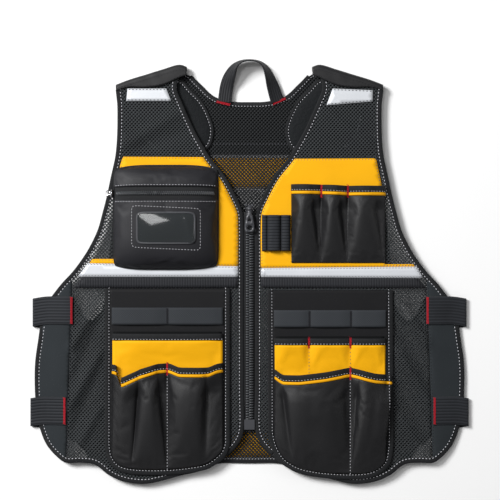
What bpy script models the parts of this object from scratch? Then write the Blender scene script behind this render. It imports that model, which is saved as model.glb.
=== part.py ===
"""Utility work vest lying on its back: sewn panels, bindings, pockets, straps and zip.

Metres. +X runs across the vest, +Y toward the collar and +Z up through its thickness.
Left and right are as seen from above, with the collar away from the viewer.
A piece of cloth is a lofted open sheet, or a filled flat outline, with its real wall.
"""
import math

import bmesh
import bpy
from mathutils import Vector

# Driving dimensions
VEST_WIDTH = 0.620
VEST_LENGTH = 0.600
TORSO_GAP = 0.0065
PIECE_GAP = 0.0003

BACK_TRIM_WALL = 0.0010
BACK_WALL = 0.0018
FRONT_WALL = 0.0015
TRIM_WALL = 0.0010
BACKING_WALL = 0.0014
POCKET_WALL = 0.0012
RIM_WALL = 0.0020
RIM_WIDTH = 0.0092
PIPING_WIDTH = 0.0036
BINDING_WIDTH = 0.0075
BINDING_WALL = 0.0030
SIDE_WALL = 0.0020
SIDE_EDGE_HEIGHT = 0.0042
SIDE_FOLD_HEIGHT = 0.0012
SIDE_FOLDS_ALONG = 26.0
SIDE_FOLDS_OUT = 9.0
SIDE_FOLD_MARGIN = 0.01
SIDE_FOLD_TOP = 0.455
SIDE_FOLD_FADE = 0.06
SINK_TOP = 0.50
SINK_FADE = 0.04
CORNER_SHARE = 0.85
STRAP_WIDTH = 0.0395
STRAP_WALL = 0.0012
STRAP_SLANT = 0.0060
STRAP_SAG = 0.00015
STRAP_STEPS = 8
BEND_STEPS = 6
FLAP_WALL = 0.0015
FOLD_STEPS = 6
PAD_WALL = 0.0034
WEBBING_WIDTH = 0.0240
WEBBING_WALL = 0.0012
WEBBING_BOW = 0.0022
LOOP_WIDTH = 0.0190
LOOP_WALL = 0.0016
WINDOW_WALL = 0.0008

CHEST_POUCH_BULGE = 0.0200
POUCH_TAPER = 0.035
POUCH_CORNER_POWER = 8
POUCH_SWELL_POWER = 4
TOOL_POCKET_BULGE = 0.0130
PEN_LOOP_BULGE = 0.0072
UPPER_POCKET_BULGE = 0.0068
LOWER_POCKET_BULGE = 0.0150

ZIP_TAPE_WALL = 0.0010
ZIP_TEETH_WALL = 0.0018
ZIP_TEETH_WIDTH = 0.0112
ZIP_STOP_RISE = 0.0006
SLIDER_WIDTH = 0.0105
SLIDER_LENGTH = 0.0120
SLIDER_WALL = 0.0022
PIN_RADIUS = 0.0007
PIN_CLEARANCE = 0.0004
KNUCKLE_WALL = 0.0008
EAR_WIDTH = 0.0018
EAR_DEPTH = 0.0028
PULL_LENGTH = 0.0260
PULL_WIDTH = 0.0110
PULL_WALL = 0.0016
PULL_RING = 0.38
PULL_HOLE_ACROSS = 0.62
PULL_HOLE_ALONG = 0.50
POUCH_SLIDER_LENGTH = 0.0060
POUCH_SLIDER_WIDTH = 0.0110
POUCH_PULL_LENGTH = 0.0080
POUCH_PULL_WIDTH = 0.0090

HALF_WIDTH = VEST_WIDTH / 2

# Heights of the layers, from the floor up
BACK_MID = BACK_TRIM_WALL + PIECE_GAP + BACK_WALL / 2
BACK_TOP = BACK_MID + BACK_WALL / 2
FRONT_MID = BACK_TOP + TORSO_GAP + FRONT_WALL / 2
FRONT_TOP = FRONT_MID + FRONT_WALL / 2
BINDING_TOP = FRONT_MID + BINDING_WALL / 2
TRIM_MID = FRONT_TOP + PIECE_GAP + TRIM_WALL / 2
TRIM_TOP = TRIM_MID + TRIM_WALL / 2
FLAP_MID = BINDING_TOP + PIECE_GAP + FLAP_WALL / 2
FOLD_RADIUS = (FLAP_MID - BACK_MID) / 2
BACKING_LOW = BINDING_TOP + PIECE_GAP
BACKING_MID = BACKING_LOW + BACKING_WALL / 2
BACKING_TOP = BACKING_LOW + BACKING_WALL
LINING_TOP = BACKING_TOP + PIECE_GAP + POCKET_WALL

# Outlines of one half, as shares: along is up the length, out is from the centre to the side
FRONT_EDGE = [  # along, out: the neck's V, then down beside the zip
    (0.969, 0.311), (0.945, 0.327), (0.926, 0.329), (0.900, 0.309), (0.862, 0.277),
    (0.825, 0.243), (0.794, 0.209), (0.769, 0.180), (0.724, 0.111), (0.675, 0.059),
    (0.639, 0.030), (0.597, 0.025), (0.555, 0.025), (0.527, 0.025), (0.499, 0.025),
    (0.459, 0.025), (0.339, 0.025), (0.222, 0.025), (0.128, 0.025),
]
LOWER_CORNER = [(0.104, 0.039), (0.085, 0.064), (0.066, 0.104)]  # along, out
FRONT_HEM = [  # along, out: the lobed hem, from the zip outwards
    (0.048, 0.145), (0.031, 0.220), (0.019, 0.318), (0.006, 0.410), (0.000, 0.480),
    (0.006, 0.573), (0.021, 0.640), (0.046, 0.705), (0.050, 0.770), (0.050, 0.836),
]
FRONT_CORNER = [(0.062, 0.873), (0.090, 0.923)]  # along, out
FRONT_SIDE = [  # along, out: the free outer edge, from the hem up to under the arm
    (0.128, 0.955), (0.175, 0.973), (0.233, 0.980), (0.287, 0.978), (0.339, 0.964),
    (0.386, 0.950), (0.421, 0.932), (0.442, 0.900),
]
FRONT_ARM = [  # along, out: the front armhole, from under the arm up to the shoulder
    (0.470, 0.857), (0.499, 0.805), (0.527, 0.764), (0.555, 0.730), (0.597, 0.691),
    (0.639, 0.668), (0.675, 0.650), (0.724, 0.630), (0.769, 0.611), (0.794, 0.605),
    (0.825, 0.602), (0.862, 0.601), (0.893, 0.602), (0.912, 0.606), (0.926, 0.609),
]
SIDE_SEAM = [(0.459, 0.807), (0.339, 0.816), (0.222, 0.824), (0.128, 0.831)]  # along, out
BACK_NECK = [  # along, out: from the centre out to the shoulder
    (0.899, 0.000), (0.900, 0.073), (0.909, 0.148), (0.921, 0.184), (0.935, 0.211),
    (0.949, 0.239), (0.963, 0.264),
]
SHOULDER_FOLD = [  # along, out, flap: the fold and how far its flap reaches down the front
    (0.980, 0.286, 0.018), (0.985, 0.318, 0.030), (0.974, 0.395, 0.037),
    (0.962, 0.470, 0.030), (0.949, 0.552, 0.016), (0.938, 0.607, 0.013),
]
BACK_ARM = [  # along, out: the back armhole, from the shoulder round under the arm
    (0.895, 0.594), (0.820, 0.591), (0.738, 0.600), (0.668, 0.614), (0.597, 0.630),
    (0.527, 0.643), (0.468, 0.652), (0.426, 0.664), (0.398, 0.686), (0.384, 0.720),
    (0.393, 0.755), (0.416, 0.779), (0.436, 0.805),
]
BACK_SIDE = [  # along, out
    (0.421, 0.845), (0.339, 0.852), (0.233, 0.850), (0.139, 0.843), (0.110, 0.826),
    (0.082, 0.765),
]
BACK_HEM = [  # along, out: from the side in to the centre
    (0.050, 0.722), (0.036, 0.682), (0.017, 0.627), (0.004, 0.555), (0.000, 0.480),
    (0.008, 0.391), (0.019, 0.318), (0.034, 0.215), (0.046, 0.136), (0.047, 0.000),
]
SHOULDER_PAD = [  # along, out: a leaf on the back's inner face
    (0.952, 0.318), (0.928, 0.268), (0.897, 0.212), (0.862, 0.178), (0.838, 0.164),
    (0.815, 0.166), (0.792, 0.184), (0.770, 0.250), (0.768, 0.350), (0.790, 0.450),
    (0.830, 0.505), (0.885, 0.520), (0.918, 0.500), (0.940, 0.420),
]
BACK_BANDS = [  # name, low, high, out, finish: bands on the outer face of the back
    ("back_reflective_strip", 0.772, 0.800, 0.560, "silver"),
    ("back_yellow_band", 0.698, 0.766, 0.560, "yellow"),
    ("back_lower_band", 0.062, 0.120, 0.610, "yellow"),
]
LOOP_ROUTE = [  # along, out, tilt: middle of the hang loop and its lean in degrees
    (0.903, -0.112, 4.0), (0.935, -0.104, 8.0), (0.962, -0.088, 35.0),
    (0.981, -0.068, 60.0), (0.992, -0.038, 74.0), (0.9953, 0.002, 78.0),
    (0.991, 0.046, 76.0), (0.979, 0.072, 66.0), (0.960, 0.090, 50.0),
    (0.935, 0.106, 28.0), (0.907, 0.124, 6.0),
]
SHOULDER_STRIP = {  # along, out
    "left": [(0.900, 0.356), (0.900, 0.560), (0.929, 0.555), (0.929, 0.378)],
    "right": [(0.890, 0.350), (0.899, 0.560), (0.925, 0.560), (0.929, 0.378)],
}
CHEST_TRIM = {  # along, out: outer edge of each trim, from its foot to its top
    "yellow_chest_left": [(0.516, 0.722), (0.529, 0.712), (0.529, 0.590), (0.745, 0.590),
                          (0.769, 0.575)],
    "yellow_chest_right": [(0.516, 0.725), (0.528, 0.712), (0.528, 0.622), (0.705, 0.600),
                           (0.765, 0.575)],
    "waist_strip_left": [(0.490, 0.752), (0.514, 0.716)],
    "waist_strip_right": [(0.490, 0.752), (0.514, 0.716)],
    "waistband_left": [(0.461, 0.800), (0.488, 0.756)],
    "waistband_right": [(0.461, 0.800), (0.488, 0.756)],
}
UNIT_OUTLINE = {  # along, out: lower pocket units, from the zip's side round below
    "left": [
        (0.460, 0.088), (0.094, 0.088), (0.069, 0.107), (0.051, 0.143), (0.036, 0.189),
        (0.029, 0.248), (0.022, 0.389), (0.026, 0.561), (0.038, 0.616), (0.062, 0.648),
        (0.088, 0.658), (0.460, 0.658),
    ],
    "right": [
        (0.456, 0.081), (0.121, 0.083), (0.088, 0.098), (0.055, 0.134), (0.035, 0.184),
        (0.023, 0.243), (0.013, 0.384), (0.015, 0.543), (0.028, 0.602), (0.050, 0.640),
        (0.090, 0.655), (0.456, 0.652),
    ],
}
WEBBING_TACKS = {  # along of its top edge, then out of each bartack
    "left": (0.415, (0.120, 0.373, 0.625)),
    "right": (0.409, (0.111, 0.272, 0.460, 0.620)),
}
UPPER_MOUTH = {  # along, out: top edge of each upper pocket's rim, with its tacks
    "left": (0.354, (0.122, 0.622)),
    "right": (0.343, (0.115, 0.270, 0.458, 0.616)),
}
LOWER_MOUTH = {  # along, out: top edge of each lower pocket's rim, from the zip outwards
    "left": [
        (0.286, 0.116), (0.284, 0.150), (0.276, 0.185), (0.276, 0.317), (0.284, 0.357),
        (0.285, 0.373), (0.284, 0.420), (0.274, 0.489), (0.264, 0.560), (0.272, 0.595),
        (0.279, 0.630),
    ],
    "right": [
        (0.272, 0.111), (0.258, 0.148), (0.258, 0.225), (0.265, 0.339), (0.273, 0.430),
        (0.275, 0.457), (0.271, 0.498), (0.262, 0.566), (0.256, 0.665),
    ],
}
LOWER_TACKS = {"left": (0.122, 0.373, 0.622), "right": (0.116, 0.457, 0.616)}
TOOL_MOUTH = [(0.704, 0.191), (0.703, 0.326), (0.700, 0.446), (0.700, 0.620)]  # along, out
TOOL_TACKS = (0.191, 0.326, 0.446, 0.616)
TOOL_FOOT = 0.520
PEN_TACKS = (0.058, 0.080, 0.143, 0.185)
PEN_MOUTH = 0.632
PEN_FOOT = 0.548
ROUND_CELL = [  # mouth, foot, height: places across a cell at its mouth and foot
    (0.00, 0.00, 0.00), (0.11, 0.05, 0.60), (0.27, 0.16, 0.93), (0.50, 0.50, 1.00),
    (0.73, 0.84, 0.93), (0.89, 0.95, 0.60),
]
LEANING_CELL = [  # mouth, foot, height: a cell that leans out past its own foot
    (0.00, 0.00, 0.00), (0.12, 0.05, 0.55), (0.36, 0.20, 0.90), (0.66, 0.50, 1.00),
    (0.98, 0.84, 0.92), (1.19, 0.95, 0.55),
]
BOW_CELL = [  # mouth, foot, height: webbing or cloth held between two bartacks
    (0.00, 0.00, 0.00), (0.18, 0.18, 0.80), (0.50, 0.50, 1.00), (0.82, 0.82, 0.80),
]
POCKET_DROP = [  # down, fullness: from a pocket's mouth to its sewn foot
    (0.00, 1.00), (0.30, 0.92), (0.62, 0.62), (0.86, 0.26), (1.00, 0.00),
]
SHORT_DROP = [  # down, fullness: an upper pocket, from its mouth to the lower one's rim
    (0.00, 1.00), (0.55, 0.82), (0.96, 0.00),
]
OPEN_DROP = [(0.00, 1.00), (1.00, 1.00)]  # down, fullness: a loop open at both ends
POUCH_BOX = (0.747, 0.506, -0.615, -0.145)  # top, foot, outer and inner edge of the pouch
POUCH_ZIP = (0.591, 0.339)  # upper and lower edge of its zip, from -1 at its foot to 1
POUCH_ACROSS = (-1.0, -0.975, -0.90, -0.72, -0.40, 0.0, 0.40, 0.72, 0.90, 0.975, 1.0)
POUCH_LID_ROWS = (1.0, 0.975, 0.90, 0.75)
POUCH_FRONT_ROWS = (0.10, -0.25, -0.60, -0.82, -0.94, -0.985, -1.0)
WINDOW_SPAN = (-0.670, 0.686, 0.240, -0.685)  # left, right, top and foot on the pouch
WINDOW_COLUMNS = (0.0, 0.125, 0.25, 0.375, 0.5, 0.625, 0.75, 0.875, 1.0)
WINDOW_ROWS = (0.0, 0.167, 0.333, 0.5, 0.667, 0.833, 1.0)
STRAPS = [  # name, along of its top edge, inner end, reach of its fold
    ("upper", 0.441, 0.802, 0.990),
    ("lower", 0.205, 0.834, 1.000),
]
MAIN_SLIDER = (0.646, 0.000)
ZIP_STOP = (0.152, 0.128)


class Finish:
    """A colour, a roughness and a metallic value, made into one Principled material."""

    def __init__(self, name, color, roughness, metallic=0.0):
        self.material = bpy.data.materials.new(name)
        self.material.use_nodes = True
        shader = self.material.node_tree.nodes["Principled BSDF"]
        shader.inputs["Base Color"].default_value = (*color, 1.0)
        shader.inputs["Roughness"].default_value = roughness
        shader.inputs["Metallic"].default_value = metallic
        self.material.diffuse_color = (*color, 1.0)


FINISHES = {}


def make_finishes():
    FINISHES.update({
        "mesh": Finish("black_mesh", (0.030, 0.033, 0.035), 0.85),
        "nylon": Finish("black_nylon", (0.016, 0.016, 0.018), 0.60),
        "softshell": Finish("charcoal_softshell", (0.040, 0.044, 0.048), 0.80),
        "binding": Finish("grey_binding", (0.045, 0.045, 0.050), 0.75),
        "yellow": Finish("yellow_cloth", (0.970, 0.490, 0.010), 0.65),
        "silver": Finish("reflective_silver", (0.580, 0.620, 0.680), 0.45),
        "window": Finish("clear_window", (0.180, 0.180, 0.190), 0.10),
        "zip": Finish("zip_plastic", (0.050, 0.050, 0.053), 0.45),
        "metal": Finish("slider_metal", (0.420, 0.420, 0.420), 0.35, 1.0),
    })


def clear_scene():
    for item in list(bpy.data.objects):
        bpy.data.objects.remove(item)


def at(along, out, side=1.0):
    """Place of a pair of shares on the flat vest, side -1 for the half at -X."""
    return Vector((side * out * HALF_WIDTH, (along - 0.5) * VEST_LENGTH))


def outline(table, side=1.0):
    return [at(row[0], row[1], side) for row in table]


def smooth_step(share):
    share = min(max(share, 0.0), 1.0)
    return share * share * (3 - 2 * share)


def between(table, value, key, result):
    """Straight-line reading of a table whose key column rises or falls steadily."""
    rows = sorted(table, key=lambda row: row[key])
    if value <= rows[0][key]:
        return rows[0][result]
    for low, high in zip(rows[:-1], rows[1:]):
        if value <= high[key]:
            share = (value - low[key]) / (high[key] - low[key])
            return low[result] + (high[result] - low[result]) * share
    return rows[-1][result]


def inset(path, distance, closed=False):
    """Move a path to its left by a distance, mitred at its corners."""
    count = len(path)
    moved = []
    for index, point in enumerate(path):
        normals = []
        if index > 0 or closed:
            step = (point - path[index - 1]).normalized()
            normals.append(Vector((-step.y, step.x)))
        if index < count - 1 or closed:
            step = (path[(index + 1) % count] - point).normalized()
            normals.append(Vector((-step.y, step.x)))
        normal = sum(normals, Vector((0.0, 0.0))).normalized()
        stretch = 1.0 / max(normal.dot(normals[0]), 0.6)
        moved.append(point + normal * distance * stretch)
    return moved


def raised(points, height):
    if callable(height):
        return [Vector((point.x, point.y, height(point))) for point in points]
    return [Vector((point.x, point.y, height)) for point in points]


def add_object(name, data, finish):
    item = bpy.data.objects.new(name, data)
    data.materials.append(FINISHES[finish].material)
    bpy.data.collections["utility_work_vest"].objects.link(item)
    return item


def loft(name, rows, wall, finish):
    """Sheet through rows of points, all with as many points, given a wall by Solidify."""
    mesh = bpy.data.meshes.new(name)
    builder = bmesh.new()
    grid = [[builder.verts.new(point) for point in row] for row in rows]
    for upper, lower in zip(grid[:-1], grid[1:]):
        for column in range(len(upper) - 1):
            after = column + 1
            builder.faces.new((upper[column], lower[column], lower[after], upper[after]))
    bmesh.ops.recalc_face_normals(builder, faces=builder.faces)
    builder.to_mesh(mesh)
    builder.free()
    item = add_object(name, mesh, finish)
    solid = item.modifiers.new("wall", "SOLIDIFY")
    solid.thickness = wall
    solid.offset = 0.0
    return item


def flat_piece(name, points, mid, wall, finish):
    """Flat outline as a filled 2D curve, extruded to its wall."""
    curve = bpy.data.curves.new(name, "CURVE")
    curve.dimensions = "2D"
    curve.fill_mode = "BOTH"
    curve.extrude = wall / 2
    spline = curve.splines.new("POLY")
    spline.points.add(len(points) - 1)
    for target, point in zip(spline.points, points):
        target.co = (point.x, point.y, 0.0, 1.0)
    spline.use_cyclic_u = True
    item = add_object(name, curve, finish)
    item.location.z = mid
    return item


def front_height(point):
    """Middle of the front layer: level, and sinking toward the floor past the side seam."""
    out = abs(point.x) / HALF_WIDTH
    along = point.y / VEST_LENGTH + 0.5
    seam = SIDE_SEAM[0][1]
    pocket_side = UNIT_OUTLINE["left"][-1][1] + SIDE_FOLD_MARGIN
    sink = smooth_step((out - seam) / (FRONT_SIDE[2][1] - seam))
    below_waist = smooth_step((SINK_TOP - along) / SINK_FADE)
    zone = min(max((out - pocket_side) / (seam - pocket_side), 0.0), 1.0)
    fold = math.sin(math.pi * zone) ** 2 * smooth_step((SIDE_FOLD_TOP - along) / SIDE_FOLD_FADE)
    wave = SIDE_FOLD_HEIGHT * fold * math.sin(along * SIDE_FOLDS_ALONG + out * SIDE_FOLDS_OUT)
    return FRONT_MID + wave - (FRONT_MID - SIDE_EDGE_HEIGHT) * sink * below_waist


def ribbon(name, path, span, width, height, wall, finish, closed=False):
    """Flat band on the left of a path between two of its points, its ends held clear."""
    inner = inset(path, width, closed)
    picks = [index % len(path) for index in range(span[0], span[1] + 1)]
    edges = [[path[index].copy() for index in picks], [inner[index].copy() for index in picks]]
    for points in edges:
        start = (points[1] - points[0]).normalized() * PIECE_GAP
        end = (points[-2] - points[-1]).normalized() * PIECE_GAP
        points[0] += start
        points[-1] += end
    return loft(name, [raised(pair, height) for pair in zip(*edges)], wall, finish)


# The back

def back_outline():
    """Whole edge of the back, from the neck's centre round by the +X side."""
    drop = Vector((0.0, FOLD_RADIUS + PIECE_GAP))
    shoulder = [at(along, out) - drop for along, out, flap in SHOULDER_FOLD]
    right = outline(BACK_NECK) + shoulder + outline(BACK_ARM + BACK_SIDE + BACK_HEM)
    left = [Vector((-point.x, point.y)) for point in reversed(right[1:-1])]
    return right + left


def make_back():
    path = back_outline()
    count = len(path)
    panel = inset(path, -(BINDING_WIDTH + PIECE_GAP), True)
    neck = len(BACK_NECK)
    shoulder = neck + len(SHOULDER_FOLD) - 1
    for index in range(neck + 1, shoulder):
        panel[index] = path[index]
        panel[count - index] = path[count - index]
    flat_piece("back_mesh", panel, BACK_MID, BACK_WALL, "mesh")
    spans = {"back_neck_binding": (-neck, neck), "back_binding": (shoulder, count - shoulder)}
    for name, span in spans.items():
        ribbon(name, path, span, -BINDING_WIDTH, BACK_MID, BINDING_WALL, "binding", True)


def make_back_bands():
    """Bands on the outer face of the back, on which the vest lies."""
    for name, low, high, out, finish in BACK_BANDS:
        corners = outline([(low, -out), (low, out), (high, out), (high, -out)])
        flat_piece(name, corners, BACK_TRIM_WALL / 2, BACK_TRIM_WALL, finish)


def make_hang_loop():
    """Webbing loop whose legs lie on the neck and whose crown stands on edge."""
    centres = outline(LOOP_ROUTE)
    base = BACK_MID + BINDING_WALL / 2 + PIECE_GAP + LOOP_WALL / 2
    rows = []
    for centre, moved, place in zip(centres, inset(centres, LOOP_WIDTH / 2), LOOP_ROUTE):
        lean = math.radians(place[2])
        across = (moved - centre).normalized() * math.cos(lean) * LOOP_WIDTH / 2
        rise = math.sin(lean) * LOOP_WIDTH
        high = centre + across
        low = centre - across
        rows.append([Vector((high.x, high.y, base)), Vector((low.x, low.y, base + rise))])
    loft("hang_loop", rows, LOOP_WALL, "binding")


def make_shoulder(side, label):
    """Back's shoulder folded over onto the front, and the leaf-shaped pad inside the neck."""
    rows = []
    for along, out, flap in SHOULDER_FOLD:
        crest = at(along, out, side)
        centre = crest.y - FOLD_RADIUS
        row = []
        for turn in range(FOLD_STEPS + 1):
            angle = math.pi * (turn / FOLD_STEPS - 0.5)
            height = BACK_MID + FOLD_RADIUS * (1 + math.sin(angle))
            row.append(Vector((crest.x, centre + FOLD_RADIUS * math.cos(angle), height)))
        row.append(Vector((crest.x, crest.y - flap * VEST_LENGTH, FLAP_MID)))
        rows.append(row)
    loft("shoulder_flap_" + label, rows, FLAP_WALL, "nylon")
    mid = BACK_TOP + PIECE_GAP + PAD_WALL / 2
    flat_piece("shoulder_pad_" + label, outline(SHOULDER_PAD, side), mid, PAD_WALL,
               "softshell")


# The fronts

def front_outline(side):
    """Whole edge of one front, from the shoulder's neck end round to its arm end."""
    table = FRONT_EDGE + LOWER_CORNER + FRONT_HEM + FRONT_CORNER + FRONT_SIDE + FRONT_ARM
    return outline(table, side)


def neck_run(side, high, low):
    """Fabric side of the front binding between two shares of the length."""
    edge = inset(front_outline(side), (BINDING_WIDTH + 2 * PIECE_GAP) * side)
    table = [(p.y / VEST_LENGTH + 0.5, p.x) for p in edge[:len(FRONT_EDGE)]]
    stops = [high] + [along for along, x in table if low < along < high] + [low]
    return [Vector((between(table, along, 0, 1), (along - 0.5) * VEST_LENGTH))
            for along in stops]


def make_front(side, label):
    path = front_outline(side)
    edge = inset(path, (BINDING_WIDTH + PIECE_GAP) * side)
    down = len(FRONT_EDGE)
    corner = down + len(LOWER_CORNER) + len(FRONT_HEM)
    seam = outline(SIDE_SEAM, side)
    inner = edge[1:down]
    outer = list(reversed(edge[-len(FRONT_ARM) + 1:])) + seam
    bottom = edge[down:corner]
    width = bottom[-1].x - inner[-1].x
    shares = [0.0] + [(point.x - inner[-1].x) / width for point in bottom]
    rows = [[a.lerp(b, share) for share in shares] for a, b in zip(inner, outer)]
    last = [inner[-1].lerp(bottom[0], CORNER_SHARE)] + bottom
    rows.append([a.lerp(b, 0.5) for a, b in zip(rows[-1], last)])
    rows.append(last)
    rows = [raised(row, front_height) for row in rows]
    loft("front_mesh_" + label, rows, FRONT_WALL, "mesh")
    make_side_strip(side, label, edge, seam, corner)
    make_front_bindings(side, label, path)


def make_side_strip(side, label, edge, seam, corner):
    """Stiff strip from the side seam to the free edge, sinking toward the floor."""
    step = Vector((side * PIECE_GAP, 0.0))
    outer = edge[corner:corner + len(FRONT_CORNER) + len(FRONT_SIDE) + 1]
    rows = []
    for point in outer:
        share = (seam[0].y - point.y) / (seam[0].y - seam[-1].y)
        start = Vector((seam[0].lerp(seam[-1], share).x, point.y)) + step
        if point is outer[0]:
            start = edge[corner - 1] + step
        if point is outer[-1]:
            start = seam[0] + step
        row = [start.lerp(point, part) for part in (0.0, 0.25, 0.5, 0.75, 1.0)]
        rows.append(raised(row, front_height))
    loft("side_strip_" + label, rows, SIDE_WALL, "softshell")


def make_front_bindings(side, label, path):
    """Edge bindings of one front: neck and zip, then hem, side and armhole."""
    neck = len(FRONT_EDGE) + len(LOWER_CORNER)
    spans = {"front_binding_": (0, neck), "outer_binding_": (neck, len(path) - 1)}
    for name, span in spans.items():
        ribbon(name + label, path, span, BINDING_WIDTH * side, front_height, BINDING_WALL,
               "binding")


def front_trim(name, points, finish):
    return flat_piece(name, points, TRIM_MID, TRIM_WALL, finish)


def make_front_trims():
    """Flat pieces sewn over the mesh: reflective strips, yellow panels and waistbands."""
    for side, label in ((-1, "left"), (1, "right")):
        front_trim("shoulder_strip_" + label, outline(SHOULDER_STRIP[label], side), "silver")
        for name, finish in (("yellow_chest_", "yellow"), ("waist_strip_", "silver"),
                             ("waistband_", "binding")):
            table = CHEST_TRIM[name + label]
            top = max(along for along, out in table)
            foot = min(along for along, out in table)
            front_trim(name + label, neck_run(side, top, foot) + outline(table, side), finish)


def make_zip():
    """Tapes between the two bindings, the joined teeth over them, and the end stop."""
    mouth = FRONT_EDGE[10][0]
    edge = FRONT_EDGE[-1][1] * HALF_WIDTH - PIECE_GAP
    low = FRONT_MID - FRONT_WALL / 2
    top = at(mouth, 0.0).y
    foot = at(FRONT_EDGE[-1][0], 0.0).y
    corners = [(-edge, top), (-edge, foot), (edge, foot), (edge, top)]
    flat_piece("zip_tape", [Vector(pair) for pair in corners], low + ZIP_TAPE_WALL / 2,
               ZIP_TAPE_WALL, "zip")
    high = low + ZIP_TAPE_WALL + PIECE_GAP
    half = ZIP_TEETH_WIDTH / 2
    stop_top = at(ZIP_STOP[0], 0.0).y
    corners = [(-half, top), (half, top), (half, stop_top + PIECE_GAP),
               (-half, stop_top + PIECE_GAP)]
    flat_piece("zip_teeth", [Vector(pair) for pair in corners], high + ZIP_TEETH_WALL / 2,
               ZIP_TEETH_WALL, "zip")
    wide = edge - 2 * PIECE_GAP
    stop_foot = at(ZIP_STOP[1], 0.0).y
    corners = [(-wide, stop_top), (wide, stop_top), (wide, stop_foot), (-wide, stop_foot)]
    tall = ZIP_TEETH_WALL + ZIP_STOP_RISE
    flat_piece("zip_stop", [Vector(pair) for pair in corners], high + tall / 2, tall, "zip")
    return high + ZIP_TEETH_WALL


# The pockets

def cell_columns(tacks, cells, bulge, side):
    """Columns of a gathered band: place at mouth and foot, and height at full bulge."""
    columns = []
    widths = [abs(b - a) for a, b in zip(tacks[:-1], tacks[1:])]
    for start, width, cell in zip(tacks, widths, cells):
        swell = min(1.0, width * HALF_WIDTH / (2 * bulge))
        for mouth, foot, height in cell:
            columns.append((start + width * mouth, start + width * foot,
                            height * bulge * swell))
    columns.append((tacks[-1], tacks[-1], 0.0))
    return [(side * mouth, side * foot, height) for mouth, foot, height in columns]


def gathered(name, columns, top, foot, drop, base, wall, finish):
    """Pocket front: rows from its top line to its foot line, raised between its tacks."""
    rows = []
    for down, fullness in drop:
        row = []
        for mouth_at, foot_at, height in columns:
            x = (mouth_at + (foot_at - mouth_at) * down) * HALF_WIDTH
            y = top(mouth_at) + (foot(foot_at) - top(mouth_at)) * down
            row.append(Vector((x, y, base + PIECE_GAP + wall / 2 + height * fullness)))
        rows.append(row)
    return loft(name, rows, wall, finish)


def level(along):
    return lambda out: at(along, 0.0).y


def line(table, drop=0.0):
    """Height up the page of a line of (along, out), lowered by a real length."""
    return lambda out: at(between(table, abs(out), 1, 0), 0.0).y - drop


def unit_foot(side, label):
    """Lower edge of the cloth inside a pocket unit's binding."""
    border = outline(UNIT_OUTLINE[label], side)
    edge = inset(border, (BINDING_WIDTH + 3 * PIECE_GAP) * side)
    table = [(abs(p.x) / HALF_WIDTH, p.y) for p in edge[1:-1]]
    return lambda out: between(table, abs(out), 0, 1)


def make_mouth(name, columns, top, base, finish="binding", piping=True):
    """Bound rim along a pocket's mouth, and the yellow piping sewn under it."""
    foot = lambda out: top(out) - RIM_WIDTH
    gathered(name + "_rim", columns, top, foot, OPEN_DROP, base, RIM_WALL, finish)
    used = RIM_WIDTH + PIECE_GAP
    if piping:
        high = lambda out: top(out) - used
        low = lambda out: top(out) - used - PIPING_WIDTH
        gathered(name + "_piping", columns, high, low, OPEN_DROP, base, RIM_WALL, "yellow")
        used += PIPING_WIDTH + PIECE_GAP
    return lambda out: top(out) - used


def mouth_only(columns):
    return [(mouth, mouth, height) for mouth, foot, height in columns]


def make_lower_unit(side, label):
    """Pocket unit below the waist: backing, webbing, upper pocket and lower pocket."""
    flat_piece("unit_backing_" + label, outline(UNIT_OUTLINE[label], side), BACKING_MID,
               BACKING_WALL, "nylon")

    top, tacks = WEBBING_TACKS[label]
    columns = cell_columns(tacks, [BOW_CELL] * (len(tacks) - 1), WEBBING_BOW, side)
    gathered("webbing_" + label, columns, level(top), level(top - WEBBING_WIDTH / VEST_LENGTH),
             OPEN_DROP, BACKING_TOP, WEBBING_WALL, "binding")

    top, tacks = UPPER_MOUTH[label]
    columns = cell_columns(tacks, [BOW_CELL] * (len(tacks) - 1), UPPER_POCKET_BULGE, side)
    start = make_mouth("upper_pocket_" + label, columns, level(top), BACKING_TOP,
                       piping=False)
    foot = unit_foot(side, label)
    middle = sum(tacks) / len(tacks)
    hidden = at(max(row[0] for row in LOWER_MOUTH[label]), 0.0).y
    shown = (start(middle) - hidden) / (start(middle) - foot(middle))
    drop = [(down * shown, fullness) for down, fullness in SHORT_DROP] + [(1.0, 0.0)]
    gathered("upper_pocket_" + label, columns, start, foot, drop, BACKING_TOP, POCKET_WALL,
             "yellow")

    cells = [ROUND_CELL, LEANING_CELL if label == "right" else ROUND_CELL]
    columns = cell_columns(LOWER_TACKS[label], cells, LOWER_POCKET_BULGE, side)
    start = make_mouth("lower_pocket_" + label, mouth_only(columns),
                       line(LOWER_MOUTH[label]), LINING_TOP)
    gathered("lower_pocket_" + label, columns, start, foot, POCKET_DROP, LINING_TOP,
             POCKET_WALL, "nylon")


def make_tool_pocket():
    """Three tool slots on the chest at +X, with a row of pen loops beside them."""
    columns = cell_columns(TOOL_TACKS, [ROUND_CELL] * 3, TOOL_POCKET_BULGE, 1)
    start = make_mouth("tool_pocket", mouth_only(columns), line(TOOL_MOUTH), TRIM_TOP)
    gathered("tool_pocket", columns, start, level(TOOL_FOOT), POCKET_DROP, TRIM_TOP,
             POCKET_WALL, "nylon")
    columns = cell_columns(PEN_TACKS, [BOW_CELL] * 3, PEN_LOOP_BULGE, 1)
    gathered("pen_loops", columns, level(PEN_MOUTH), level(PEN_FOOT), OPEN_DROP, TRIM_TOP,
             POCKET_WALL, "binding")


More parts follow.
